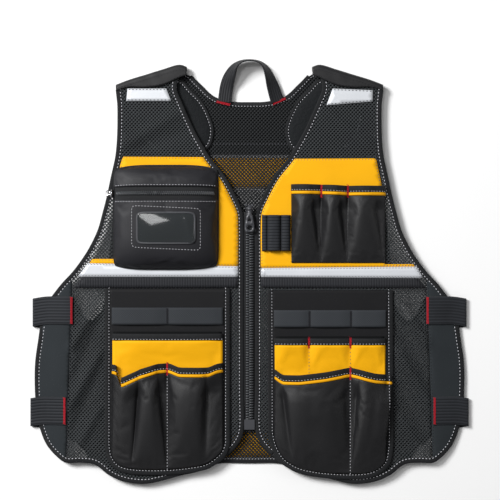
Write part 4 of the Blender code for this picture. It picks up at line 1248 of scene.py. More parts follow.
def zigzag(start: Sequence[float], end: Sequence[float], width: float = TACK_WIDTH,
           pitch: float = 0.0009) -> Array:
    """Path of a bartack's thread.

    Args:
        start: place of its one end.
        end: place of its other end.
        width: how wide it is.
        pitch: distance between two of its turns.

    Returns:
        The flat path, from side to side of the line between them.
    """
    a, b = np.array(start, float)[:2], np.array(end, float)[:2]
    run = b - a
    long = float(np.linalg.norm(run))
    count = max(4, int(long / pitch))
    aside = np.array([-run[1], run[0]]) / long * width / 2
    share = np.linspace(0, 1, count + 1)[:, None]
    sign = np.where(np.arange(count + 1) % 2, 1.0, -1.0)[:, None]
    return a + run * share + aside * sign


# The vest's sub-assemblies

SIDES = ((-1.0, "left"), (1.0, "right"))


def keep(items: list[Object], item: Object) -> Object:
    """Add a piece to a list and hand it on."""
    items.append(item)
    return item


def front_path(side: float) -> Array:
    """Whole edge of one front as a smooth line, from the neck's end round to the arm's end."""
    table = FRONT_EDGE + LOWER_CORNER + FRONT_HEM + FRONT_CORNER + FRONT_SIDE + FRONT_ARM
    return smooth_path(places(table, side), 0.0025)


def inward(path: Array, distance: float, side: float) -> Array:
    """A front's edge moved into its cloth."""
    return offset(path, distance * side)


@dataclass
class Back:
    """The back panel, its edge bindings and the bands on the face that it lies on."""

    wall: float = 0.0018
    step: float = 0.0065
    bands: tuple[tuple[str, float, float, float, Finish], ...] = (
        ("back_reflective_strip", 0.772, 0.800, 0.560, SILVER),
        ("back_yellow_band", 0.698, 0.766, 0.560, YELLOW),
        ("back_lower_band", 0.062, 0.120, 0.610, YELLOW),
    )
    lining_height: float = 0.00115
    band_height: float = 0.0005
    seam_in: float = 0.0014
    sewn_rows: tuple[float, ...] = (0.772, 0.800, 0.692, 0.122, 0.060)
    items: list[Object] = field(default_factory=list)

    def half_edge(self) -> Array:
        """Edge of the half at +X, from the neck's centre round to the hem's centre."""
        fold = places([row[:2] for row in SHOULDER_FOLD])
        fold[:, 1] -= FOLD_RADIUS + GAP
        parts = [smooth_path(places(BACK_NECK), 0.004), smooth_path(fold, 0.004),
                 smooth_path(places(BACK_ARM + BACK_SIDE + BACK_HEM), 0.004)]
        return np.concatenate(parts)

    def build(self) -> None:
        """Make the cloth, its bindings and its bands."""
        half = self.half_edge()
        whole = np.concatenate([half, (half * [-1, 1])[::-1][1:-1]])
        inner = offset(whole, -0.0030, True)
        panel = inner[np.linalg.norm(np.roll(inner, 1, axis=0) - inner, axis=1) > 0.0008]
        sheet = panel_sheet(panel, self.height, self.step)
        cloth = keep(self.items, walled("back_cloth", sheet, self.wall, BACK_NET, ["back_mesh"]))
        area = abs(edge_sign(panel)) / 2
        self.build_bindings(half)
        yoke = panel[panel[:, 1] > up_at(0.768)]
        yoke = yoke[np.argsort(np.arctan2(yoke[:, 0], yoke[:, 1] - up_at(0.768) + 0.02))]
        lining = panel_sheet(ring_of(yoke, 0.006), flat_height(self.lining_height), 0.010)
        walled("back_lining", lining, 0.0001, LINING_AND_SHADOW)
        for name, low, high, out, finish in self.bands:
            outline = straight([(low, -out), (low, out), (high, out), (high, -out)], step=0.008)
            strip = panel_sheet(outline, flat_height(self.band_height), 0.012)
            walled(name + "_cloth", strip, TRIM_WALL, finish, [name])
        self.build_stitches(half)

    @staticmethod
    def height(x: Array, y: Array) -> Array:
        """Middle of the back's cloth, lying almost flat."""
        return BACK_MID + 0.00015 * ripple(x, y, 0.06, 9)

    def build_bindings(self, half: Array) -> None:
        """Bind the neck in one length, and the arms, sides and hem in another."""
        neck_end = nearest(half, at(0.963, 0.264))
        shoulder_end = nearest(half, at(0.895, 0.594))
        mirror = half * [-1, 1]
        neck = np.concatenate([mirror[:neck_end + 1][::-1], half[1:neck_end + 1]])
        rest = np.concatenate([half[shoulder_end - 3:], mirror[shoulder_end - 3:-1][::-1]])
        for name, run, node in (("neck_binding", neck, "back_neck_binding"),
                                ("back_edge_binding", rest, "back_binding")):
            middle = offset(run, -BINDING_WIDTH / 2)
            path = level_path(middle, BACK_MID)
            keep(self.items, band(name, path, BINDING_WIDTH, BINDING_WALL, TAPE, [node]))

    def build_stitches(self, half: Array) -> None:
        """Seams on the bindings and the rows sewn across the back."""
        ground = Ground(self.items)
        mirror = (half * [-1, 1])[::-1]
        both = np.concatenate([mirror[:-1], half])
        seam = resample(offset(both, self.seam_in - BINDING_WIDTH), SEAM_STEP)
        ground.sew("back_seams", [seam], PALE_THREAD)
        rows = [resample(places([(along, -0.54), (along, 0.54)]), EDGE_STEP)
                for along in self.sewn_rows]
        ground.sew("back_band_seams", rows, GREY_THREAD)


@dataclass
class HangLoop:
    """Webbing loop at the collar, its crown standing on edge."""

    width: float = 0.0190
    wall: float = 0.0016
    foot_tacks: tuple[tuple[tuple[float, float], ...], ...] = (
        ((0.8995, -0.150), (0.892, -0.089)), ((0.894, 0.107), (0.907, 0.164)))  # along, out
    tack_width: float = 0.0030

    def build(self) -> None:
        """Sweep the webbing and tack its two feet down."""
        route = smooth_path(np.array([(*at(a, o), math.radians(t)) for a, o, t in LOOP_ROUTE]),
                            0.0025)
        middle, lean = route[:, :2], route[:, 2]
        aside = offset(middle, 1.0) - middle
        aside /= np.linalg.norm(aside, axis=1)[:, None]
        across = aside * (np.cos(lean) * self.width / 2)[:, None]
        base = BACK_MID + BINDING_WALL / 2 + GAP + self.wall / 2
        rows = []
        for share in np.linspace(0, 1, 7):
            flat = middle + across * (1 - 2 * share)
            rows.append(np.column_stack([flat, base + np.sin(lean) * self.width * share]))
        sheet = grid_sheet(np.stack(rows))
        loop = walled("collar_loop", sheet, self.wall, LOOP_TAPE, ["hang_loop"])
        edges = [(middle + across * (1 - 2 * share))[2:-2] for share in (0.12, 0.88)]
        Ground([loop]).sew("loop_seams", edges, DARK_THREAD)
        tacks = []
        for a, b in self.foot_tacks:
            tack = zigzag(at(*a), at(*b), self.tack_width)
            tacks.append(level_path(tack, base + 0.0011))
        run_of("loop_bartacks", "thread", tacks, TACK, RED_THREAD)


@dataclass
class Shoulder:
    """One shoulder: the back folded over the front, the pad inside it and the strip below."""

    side: float
    label: str
    wall: float = 0.0015
    pad_height: float = 0.0034
    pad_tape: tuple[float, float] = (0.0048, 0.0022)  # width, wall
    pad_seam_in: float = 0.0044

    def build(self) -> None:
        """Make the flap, the pad and their seams."""
        self.build_flap()
        self.build_pad()
        self.build_strip()

    def build_flap(self) -> None:
        """Fold the cloth over the shoulder's crest and down onto the front."""
        table = smooth_path(np.array([(*at(a, o, self.side), f) for a, o, f in SHOULDER_FOLD]),
                            0.003)
        rows = []
        for x, y, flap in table:
            centre = y - FOLD_RADIUS
            turn = np.pi * (np.linspace(0, 1, 13) - 0.5)
            rise = BACK_MID + FOLD_RADIUS * (1 + np.sin(turn))
            arc = np.column_stack([np.full(13, x), centre + FOLD_RADIUS * np.cos(turn), rise])
            end = y - flap * LENGTH
            down = np.linspace(centre, min(end, centre - 0.001), 8)[1:]
            rows.append(np.concatenate([arc, np.column_stack([
                np.full(7, x), down, np.full(7, FLAP_MID)])]))
        grid = np.stack(rows)
        grid[:, :, 2] += 0.0003 * ripple(grid[:, :, 0], grid[:, :, 1], 0.02, 11)
        sheet = grid_sheet(grid)
        item = walled("shoulder_cloth_" + self.label, sheet, self.wall, NYLON,
                      ["shoulder_flap_" + self.label])
        ends = np.array([row[-1] for row in rows])
        fold = np.array([(r[0][0], max(p[1] for p in r)) for r in rows])
        lines = [ends[3:-3, :2] + [0, 0.0022], fold[3:-3] - [0, 0.0075]]
        Ground([item]).sew("shoulder_seams_" + self.label, lines, DARK_THREAD)

    def build_pad(self) -> None:
        """Leaf-shaped pad with a bound edge and a pale seam."""
        edge = smooth_path(places(SHOULDER_PAD, self.side), 0.003, True)
        if edge_sign(edge) < 0:
            edge = edge[::-1]
        inner = offset(edge, 0.0030, True)

        def crown(x: Array, y: Array) -> Array:
            """Height of the pad's top: low at its seam and full in its middle."""
            far = edge_distance(np.column_stack([x, y]), inner)
            swell = 1 - np.exp(-far / 0.006)
            return BACK_TOP + GAP + 0.0010 + (self.pad_height - 0.0012) * swell

        sheet = panel_sheet(inner, crown, 0.0035)
        sheet.points[:, 2] -= 0.0004
        depth = sheet.points[:, 2] - (BACK_TOP + GAP + 0.0007)
        pad = walled("shoulder_padding_" + self.label, sheet, 0.0008, PAD_CLOTH,
                     ["shoulder_pad_" + self.label], low_wall=np.maximum(depth, 0.0))
        width, wall = self.pad_tape
        middle = offset(edge, width / 2, True)
        path = level_path(middle, BACK_TOP + GAP + 0.0012)
        rim = band("shoulder_pad_edge_" + self.label, path, width, wall, TAPE, closed=True)
        seam = looped(offset(edge, self.pad_seam_in, True))
        Ground([pad, rim]).sew("pad_seam_" + self.label, [seam], PALE_THREAD)

    def build_strip(self) -> None:
        """Reflective strip across the shoulder, with dark seams."""
        table = {
            "left": [(0.900, 0.356), (0.900, 0.560), (0.929, 0.555), (0.929, 0.378)],
            "right": [(0.890, 0.350), (0.899, 0.560), (0.925, 0.560), (0.929, 0.378)],
        }[self.label]
        sheet = panel_sheet(straight(table, self.side), over_front(TRIM_MID - FRONT_MID), 0.005)
        strip = walled("shoulder_reflector_" + self.label, sheet, TRIM_WALL, SILVER,
                       ["shoulder_strip_" + self.label])
        a, b, c, d = places(table, self.side)
        lines = [resample(np.array(ends) + [0, shift], LINE_STEP)[1:-1]
                 for ends, shift in (((a, b), 0.0014), ((d, c), -0.0014))]
        Ground([strip]).sew("shoulder_reflector_seams_" + self.label, lines, DARK_THREAD, STITCH)


def edge_sign(outline: Array) -> float:
    """Positive where a closed outline runs anticlockwise."""
    after = np.roll(outline, -1, axis=0)
    return float((outline[:, 0] * after[:, 1] - outline[:, 1] * after[:, 0]).sum())


@dataclass
class Front:
    """One front: its net cloth, side strip, bindings and the trims sewn on it."""

    side: float
    label: str
    wall: float = 0.0015
    step: float = 0.0048
    seam_in: float = 0.0016
    edge_seam_in: float = 0.0011
    items: list[Object] = field(default_factory=list)

    def build(self) -> None:
        """Make the front's cloth, bindings, trims and seams."""
        path = front_path(self.side)
        self.build_cloth(path)
        self.build_bindings(path)
        self.build_trims(path)
        self.build_seams(path)

    def place(self, along: float, out: float) -> tuple[float, float]:
        """A place on this half."""
        return at(along, out, self.side)

    def build_cloth(self, path: Array) -> None:
        """Net panel up to the side seam, and the padded strip beyond it."""
        inner = inward(path, 0.0040, self.side)
        seam = smooth_path(places(SIDE_SEAM, self.side), 0.004)
        hem = stretch_of(inner, self.place(0.969, 0.311), self.place(0.054, 0.834))
        arm = stretch_of(inner, self.place(0.482, 0.806), self.place(0.926, 0.609))
        outline = np.concatenate([hem[:-1], seam[::-1][1:-1], arm[1:]])
        sheet = panel_sheet(ring_of(outline, self.step), front_height, self.step)
        cloth = keep(self.items, walled("front_cloth_" + self.label, sheet, self.wall, NET,
                                        ["front_mesh_" + self.label]))
        area = abs(edge_sign(outline)) / 2
        outer = stretch_of(inner, self.place(0.054, 0.834), self.place(0.482, 0.806))
        strip = ring_of(np.concatenate([seam[1:-1], outer]), self.step)
        sheet = panel_sheet(strip, self.quilted(strip), 0.0040)
        pad = keep(self.items, walled("side_padding_" + self.label, sheet, 0.0020, SOFTSHELL,
                                      ["side_strip_" + self.label]))

    def quilted(self, outline: Array) -> Callable[[Array, Array], Array]:
        """Height of the side strip: its padding swells away from its seams."""
        def height(x: Array, y: Array) -> Array:
            """Front's height with the padding's swell."""
            far = edge_distance(np.column_stack([x, y]), outline)
            swell = 0.0009 * (1 - np.exp(-far / 0.005))
            return front_height(x, y) + swell + 0.0004 * ripple(x, y, 0.05, 21)
        return height

    def build_bindings(self, path: Array) -> None:
        """Bind the neck and zip edge, then the hem, side and armhole."""
        corner = nearest(path, self.place(0.066, 0.104))
        spans = (("front_tape_", path[:corner + 1], "front_binding_"),
                 ("edge_tape_", path[corner:], "outer_binding_"))
        for name, run, node in spans:
            middle = inward(run, BINDING_WIDTH / 2, self.side)
            rows = np.column_stack([middle, front_height(middle[:, 0], middle[:, 1])])
            rows[:, 2] += 0.0002 * ripple(rows[:, 0], rows[:, 1], 0.025, 31)
            keep(self.items, band(name + self.label, rows, BINDING_WIDTH, BINDING_WALL, TAPE,
                                  [node + self.label]))

    def beside_zip(self, path: Array, high: float, low: float) -> Array:
        """Cloth side of the front binding, between two shares of the length."""
        line = inward(path, BINDING_WIDTH + 2 * GAP, self.side)
        return stretch_of(line, self.nearest_at(line, high), self.nearest_at(line, low))

    def nearest_at(self, line: Array, along: float) -> tuple[float, float]:
        """Place of the neck's or zip's line at a share of the length."""
        part = line[:nearest(line, self.place(0.128, 0.05))]
        return tuple(part[int(np.argmin(np.abs(part[:, 1] - up_at(along))))])

    def build_trims(self, path: Array) -> None:
        """Yellow panel, reflective strip and ribbed waistband, each with its seams."""
        left = self.label == "left"
        chest = ([(0.516, 0.730), (0.529, 0.714), (0.529, 0.590), (0.745, 0.590), (0.769, 0.575)]
                 if left else
                 [(0.510, 0.755), (0.5165, 0.744), (0.5165, 0.612), (0.705, 0.600),
                  (0.765, 0.575)])
        waist = ([(0.487, 0.781), (0.519, 0.734)] if left else
                 [(0.484, 0.789), (0.511, 0.760)])
        high, low = (0.511, 0.488) if left else (0.509, 0.485)
        trims = (("chest_panel_", "yellow_chest_", chest, (chest[-1][0], high - 0.001), 0.0,
                  YELLOW, GREY_THREAD),
                 ("waist_elastic_", "waistband_", [(0.461, 0.800), (0.488, 0.756)],
                  (0.488, 0.461), 0.0, WAIST, DARK_THREAD),
                 ("waist_reflector_", "waist_strip_", waist, (high, low), 0.0003, SILVER,
                  GREY_THREAD))
        for name, node, table, (top, foot), lift, finish, thread in trims:
            corners = np.concatenate([self.beside_zip(path, top, foot),
                                      places(table, self.side)])
            outline = ring_of(corners, 0.0045)
            sheet = panel_sheet(outline, over_front(TRIM_MID - FRONT_MID + lift), 0.0060)
            item = walled(name + self.label, sheet, TRIM_WALL, finish, [node + self.label])
            ring = outline if edge_sign(outline) > 0 else outline[::-1]
            seam = looped(offset(ring, self.seam_in, True))
            Ground([item]).sew(name + "seam_" + self.label, [seam], thread)

    def build_seams(self, path: Array) -> None:
        """Pale seams along the bindings and dark ones down the side."""
        ground = Ground(self.items)
        line = resample(inward(path, BINDING_WIDTH - self.edge_seam_in, self.side), SEAM_STEP)
        ground.sew("edge_seams_" + self.label, [line], PALE_THREAD, STITCH)
        seam = smooth_path(places(SIDE_SEAM, self.side), 0.004)
        rows = [seam + [self.side * shift, 0] for shift in (self.seam_in, -self.seam_in)]
        ground.sew("side_seams_" + self.label, rows, DARK_THREAD)


@dataclass
class FrontZip:
    """The closed zip: its tape, teeth, end stop, slider and pull."""

    top: float = 0.639
    stop: tuple[float, float] = (0.152, 0.128)
    tape_low: float = 0.0096
    tape_reach: float = 0.0262
    axis: tuple[float, float, float] = (0.0, 0.0876, 0.0174)

    def build(self) -> None:
        """Make the tape and teeth, then the end stop and the slider."""
        edge = 0.025 * HALF_WIDTH + 0.0004
        foot, reach = self.stop[1], self.tape_reach
        outline = straight([(self.top, -reach), (foot, -reach), (foot, reach),
                            (self.top, reach)], step=EDGE_STEP)
        sheet = panel_sheet(outline, flat_height(self.tape_low + 0.0005), 0.004)
        walled("zip_tape_cloth", sheet, TRIM_WALL, TAPE, ["zip_tape"])
        high = self.tape_low + 0.0013
        line = resample(np.array([(0, up_at(self.top) - 0.001, high + 0.0010),
                                  (0, up_at(self.stop[0]) + 0.0006, high + 0.0010)]), 0.01)
        run_of("zip_tooth_row", "teeth", [line], FRONT_TEETH, TOOTH, ["zip_teeth"])
        y_high, y_low = up_at(self.stop[0]), up_at(self.stop[1])
        wide = edge - 0.0007
        block = rounded_block((0, (y_high + y_low) / 2, high + 0.0012),
                              (2 * wide, y_high - y_low, 0.0024), 0.0004)
        piece("zip_end_stop", *block, PLASTIC, ["zip_stop"], sharp_from=0)
        self.build_slider()

    def build_slider(self) -> None:
        """Slider with its bridge and pin, and the pull hanging from it."""
        x, y, z = self.axis
        low = self.tape_low + 0.0034
        parts = [rounded_block((x, y, low + 0.0011), (0.0105, 0.0120, 0.0022), 0.0007)]
        for sign in (-1, 1):
            parts.append(rounded_block((x + sign * 0.00435, y, (low + z + 0.0011) / 2),
                                       (0.0018, 0.0028, z + 0.0011 - low), 0.0005))
            parts.append(rounded_block((x + sign * 0.0046, y + 0.0052, low + 0.0018),
                                       (0.0028, 0.0044, 0.0036), 0.0006))
        pin = tube_mesh(np.array([(x - 0.0046, y, z), (x, y, z), (x + 0.0046, y, z)]),
                        0.0014, 0.0014, square=1.0)
        piece("zip_slider_body", *joined(parts + [pin]), PLASTIC, ["zip_slider"])
        plate = pull_plate(0.0325, 0.0135, 0.0057, 0.0016)
        points = plate[0][:, [1, 0, 2]] * [1, -1, 1] + [x, y, z]
        piece("zip_pull_plate", points, [f[::-1] for f in plate[1]], plate[2], PLASTIC,
              ["zip_pull"], "zip_pull_body")


def rounded_block(centre: Sequence[float], size: Sequence[float],
                  radius: float) -> tuple[Array, list, Array]:
    """Block with rounded edges, as points, faces and flat places."""
    mesh = bpy.data.meshes.new("block")
    made = bmesh.new()
    bmesh.ops.create_cube(made, size=1.0)
    bmesh.ops.scale(made, vec=Vector(size), verts=made.verts)
    bmesh.ops.bevel(made, geom=list(made.edges), offset=radius, segments=2, affect="EDGES")
    bmesh.ops.translate(made, vec=Vector(centre), verts=made.verts)
    bmesh.ops.recalc_face_normals(made, faces=made.faces)
    made.to_mesh(mesh)
    made.free()
    points = np.array([v.co for v in mesh.vertices])
    faces = [tuple(p.vertices) for p in mesh.polygons]
    bpy.data.meshes.remove(mesh)
    return points, faces, points[:, :2].copy()


def joined(parts: Sequence[tuple[Array, list, Array]]) -> tuple[Array, list, Array]:
    """Several closed parts as one mesh."""
    points, faces, flat, start = [], [], [], 0
    for part in parts:
        points.append(part[0])
        flat.append(part[2])
        faces += [tuple(i + start for i in face) for face in part[1]]
        start += len(part[0])
    return np.concatenate(points), faces, np.concatenate(flat)


def pull_plate(length: float, width: float, neck: float,
               wall: float) -> tuple[Array, list, Array]:
    """Pull along +X from its pin at the origin: eye, waisted neck and a ringed end.

    Args:
        length: from the pin to the far end.
        width: across the ring.
        neck: across the knuckle.
        wall: thickness of the plate.

    Returns:
        Points, faces and flat places.
    """
    shape = [  # along, half width, as shares of the length and of the width
        (0.055, neck / width / 2), (0.20, neck / width / 2), (0.34, 0.36), (0.50, 0.40),
        (0.60, 0.46), (0.72, 0.50), (0.88, 0.50), (0.97, 0.42), (1.0, 0.30),
    ]
    upper = np.array([(a * length, b * width) for a, b in shape])
    outline = np.concatenate([upper, (upper * [1, -1])[::-1]])
    outline = ring_of(outline, 0.0006)[::-1]
    turn = np.linspace(0, math.tau, 20, endpoint=False)
    ring = np.column_stack([0.81 * length + 0.105 * length * np.cos(turn),
                            0.31 * width * np.sin(turn)])
    window = resample(np.array([(0.30, 0.0), (0.52, 0.20), (0.52, -0.20), (0.30, 0.0)])
                      * [length, width], 0.0006)[:-1]
    every = [Vector(p) for p in np.concatenate([outline, ring, window])]
    a, b = len(outline), len(outline) + len(ring)
    loops = [list(range(a)), list(range(a, b)), list(range(b, len(every)))]
    edges = [(l[k], l[(k + 1) % len(l)]) for l in loops for k in range(len(l))]
    done = delaunay_2d_cdt(every, edges, [], 0, 1e-7)
    flat = np.array([(p.x, p.y) for p in done[0]])
    faces = []
    for face in done[2]:
        centre = flat[list(face)].mean(axis=0)[None]
        if (inside(centre, outline)[0] and not inside(centre, ring)[0]
                and not inside(centre, window)[0]):
            faces.append(tuple(face))
    sheet = turned_up(Sheet(np.column_stack([flat, np.zeros(len(flat))]), faces, flat))
    count = len(flat)
    far = np.minimum(edge_distance(flat, outline), 0.0006)
    round_off = 0.0003 * (1 - far / 0.0006)
    top = sheet.points + np.column_stack([np.zeros((count, 2)), wall / 2 - round_off])
    low = sheet.points - np.column_stack([np.zeros((count, 2)), wall / 2 - round_off])
    shell = list(sheet.faces) + [tuple(v + count for v in f[::-1]) for f in sheet.faces]
    shell += [(b, a, a + count, b + count) for a, b in sheet.rim()]
    eye = eyelet(0.0011, 0.0019, neck)
    return joined([(np.concatenate([top, low]), shell, np.tile(flat, (2, 1))), eye])


def eyelet(bore: float, outer: float, width: float) -> tuple[Array, list, Array]:
    """Short tube along Y round a pin at the origin, with its bore open."""
    sides = 20
    turn = np.linspace(0, math.tau, sides, endpoint=False)
    ring = np.column_stack([np.cos(turn), np.sin(turn)])
    rows = []
    for radius, y in ((outer, -1), (outer, 1), (bore, 1), (bore, -1)):
        rows.append(np.column_stack([ring[:, 0] * radius, np.full(sides, y * width / 2),
                                     ring[:, 1] * radius]))
    points = np.concatenate(rows)
    faces = ring_faces(len(rows), sides, True)
    volume = 0.0
    for f in faces:
        a, b, c, d = points[list(f)]
        volume += float(np.dot(a, np.cross(b, c)) + np.dot(a, np.cross(c, d)))
    if volume < 0:
        faces = [f[::-1] for f in faces]
    return points, faces, points[:, :2].copy()


# Pockets

@dataclass
class Gathers:
    """Cells of a pocket: cloth that bulges between rows of stitches and is sewn at its foot."""

    tacks: tuple[float, ...]
    cells: tuple[Shares, ...]
    bulge: float
    side: float
    fineness: int = 26

    def columns(self) -> tuple[Array, list[int]]:
        """Rows of (mouth, foot, height, even height) across, and the sewn rows among them."""
        rows, sewn = [], [0]
        for start, end, cell in zip(self.tacks[:-1], self.tacks[1:], self.cells):
            width = end - start
            swell = min(1.0, abs(width) * HALF_WIDTH / (2 * self.bulge))
            table = list(cell) + [(1.0, 1.0, 0.0)]
            points = np.array([(m * width * HALF_WIDTH, h * self.bulge * swell,
                                f * width * HALF_WIDTH) for m, f, h in table])
            curve = smooth_path(points, 0.0005)
            picks = np.linspace(0, len(curve) - 1, self.fineness).round().astype(int)
            curve = curve[picks]
            curve[:, 1] = np.maximum(curve[:, 1], 0.0)
            share = np.clip(curve[:, 0] / (width * HALF_WIDTH), 0, 1)
            even = self.bulge * swell * 0.9 * np.sin(np.pi * share) ** 0.6
            part = np.column_stack([start + curve[:, 0] / HALF_WIDTH,
                                    start + curve[:, 2] / HALF_WIDTH, curve[:, 1], even])
            rows.append(part if not rows else part[1:])
            sewn.append(sewn[-1] + self.fineness - 1)
        table = np.concatenate(rows)
        table[:, :2] *= self.side
        return table, sewn

    def cloth(self, top: Callable, foot: Callable, drop: Shares, base: float, wall: float,
              down: int, upright: bool = False, settle: float = 0.0) -> tuple[Array, list[int]]:
        """Grid of the pocket's cloth.

        Args:
            top: y of its upper line at a share out.
            foot: y of its lower line at a share out.
            drop: (down, fullness) from the upper to the lower line.
            base: height that it is sewn to.
            wall: its thickness.
            down: how many rows it has.
            upright: whether its sides run straight down from the mouth.
            settle: share down by which the even mouth has turned into pleats.

        Returns:
            The grid, rows from the top, and the sewn columns.
        """
        columns, sewn = self.columns()
        share, fullness = smooth_profile(drop, 0, 1)
        rows = []
        for v in np.linspace(0, 1, down):
            full = float(np.interp(v, share, fullness))
            foot_at = columns[:, 0] if upright else columns[:, 1]
            x = (columns[:, 0] + (foot_at - columns[:, 0]) * v) * HALF_WIDTH
            high, low = top(np.abs(columns[:, 0])), foot(np.abs(foot_at))
            y = high + (low - high) * v
            even = 0.85 * (1 - float(smooth_step(v / settle))) if settle else 0.0
            height = columns[:, 2] * (1 - even) + columns[:, 3] * even
            z = base + GAP + wall / 2 + height * max(full, 0.0)
            rows.append(np.column_stack([x, y, z]))
        return np.stack(rows), sewn


def level_line(along: float, drop: float = 0.0) -> Callable[[Array], Array]:
    """Line straight across the vest."""
    y = up_at(along) - drop
    return lambda out: np.full(np.shape(out), y)


def drawn_line(table: Shares, drop: float = 0.0) -> Callable[[Array], Array]:
    """Line through a table of (along, out), a little rounded and lowered by a length."""
    rows = np.array(sorted(table, key=lambda row: row[1]))
    out = np.linspace(rows[0, 1] - 0.03, rows[-1, 1] + 0.03, 900)
    y = (np.interp(out, rows[:, 1], rows[:, 0]) - 0.5) * LENGTH
    round_off = np.hanning(53)
    y = np.convolve(np.pad(y, 26, mode="edge"), round_off / round_off.sum(), mode="valid")
    return lambda share: np.interp(np.asarray(share), out, y) - drop


def pinned_edges(grid: Array, sewn: Sequence[int]) -> Array:
    """Mask of a grid's points that are sewn: its top and foot, and its stitched columns."""
    mask = np.zeros(grid.shape[:2], bool)
    mask[0] = True
    mask[-2:] = True
    for column in sewn:
        mask[:, column] = True
    return mask.ravel()


class Wrinkles(Enum):
    """How much loose cloth a pocket has over its place."""

    TAUT = 0.003
    EASY = 0.004


def pocket_cloth(name: str, grid: Array, sewn: Sequence[int], wall: float, finish: Finish,
                 nodes: Sequence[str], loose: Wrinkles, cap: float = 0.0016) -> Object:
    """Pocket front whose cloth has settled between its seams.

    Args:
        name: the piece's name.
        grid: its cloth as it is pleated.
        sewn: columns of the grid that are sewn down.
        wall: the cloth's thickness.
        finish: its finish.
        nodes: the CAD nodes that it stands for.
        loose: how much too large the cloth is.
        cap: furthest that a point may move.

    Returns:
        The finished piece.
    """
    sheet = grid_sheet(grid)
    sheet = relaxed(sheet, pinned_edges(grid, sewn), loose.value, 0.4, cap)
    return walled(name, sheet, wall, finish, nodes)


@dataclass
class PocketMouth:
    """Bound rim of a pocket's mouth, with or without the yellow piping below it."""

    name: str
    gathers: Gathers
    line: Callable[[float], Callable[[Array], Array]]
    base: float
    piping: bool = True
    step: tuple[float, float] = (-1.0, -1.0)
    rim_width: float = 0.0092
    rim_wall: float = 0.0020
    piping_width: float = 0.0036

    def used(self) -> float:
        """How far the rim and piping reach down from the mouth's line."""
        return self.rim_width + GAP + (self.piping_width + GAP if self.piping else 0.0)

    def strip(self, start: float, width: float, swell: float, down: int) -> Sheet:
        """Strip along the mouth that is a little rounded across."""
        grid, _ = self.gathers.cloth(self.line(start), self.line(start + width), OPEN_DROP,
                                     self.base, self.rim_wall, down, True, 9.0)
        share = np.linspace(0, 1, down)
        grid[:, :, 2] += (swell * np.sin(np.pi * share) ** 0.6)[:, None]
        out = np.abs(grid[0, :, 0]) / HALF_WIDTH
        parts = [grid_sheet(grid[:, kept]) for kept in (out <= self.step[0], out >= self.step[1])
                 if kept.sum() > 1]
        if len(parts) < 2:
            return grid_sheet(grid)
        count = len(parts[0].points)
        faces = parts[0].faces + [tuple(v + count for v in face) for face in parts[1].faces]
        return Sheet(np.concatenate([part.points for part in parts]), faces,
                     np.concatenate([part.flat for part in parts]))

    def build(self, node: str) -> list[Object]:
        """Make the rim and its piping."""
        made = [walled(self.name + "_rim_tape", self.strip(0.0, self.rim_width, 0.0005, 7),
                       self.rim_wall, TAPE, [node + "_rim"])]
        if self.piping:
            sheet = self.strip(self.rim_width + GAP, self.piping_width, 0.0007, 5)
            made.append(walled(self.name + "_piping_tape", sheet, self.rim_wall, YELLOW_TAPE,
                               [node + "_piping"]))
        return made

    def seam_path(self, down: float, first: float, last: float) -> Array:
        """Flat line at a distance below the mouth's edge, between two shares out."""
        out = np.linspace(first, last, 160)
        y = self.line(down)(out)
        return np.column_stack([self.gathers.side * out * HALF_WIDTH, y])


def tack_path(out: float, side: float, high: float, low: float, width: float = 0.0026) -> Array:
    """Upright bartack between two heights up the vest, in metres."""
    x = side * out * HALF_WIDTH
    return zigzag((x, high), (x, low), width)


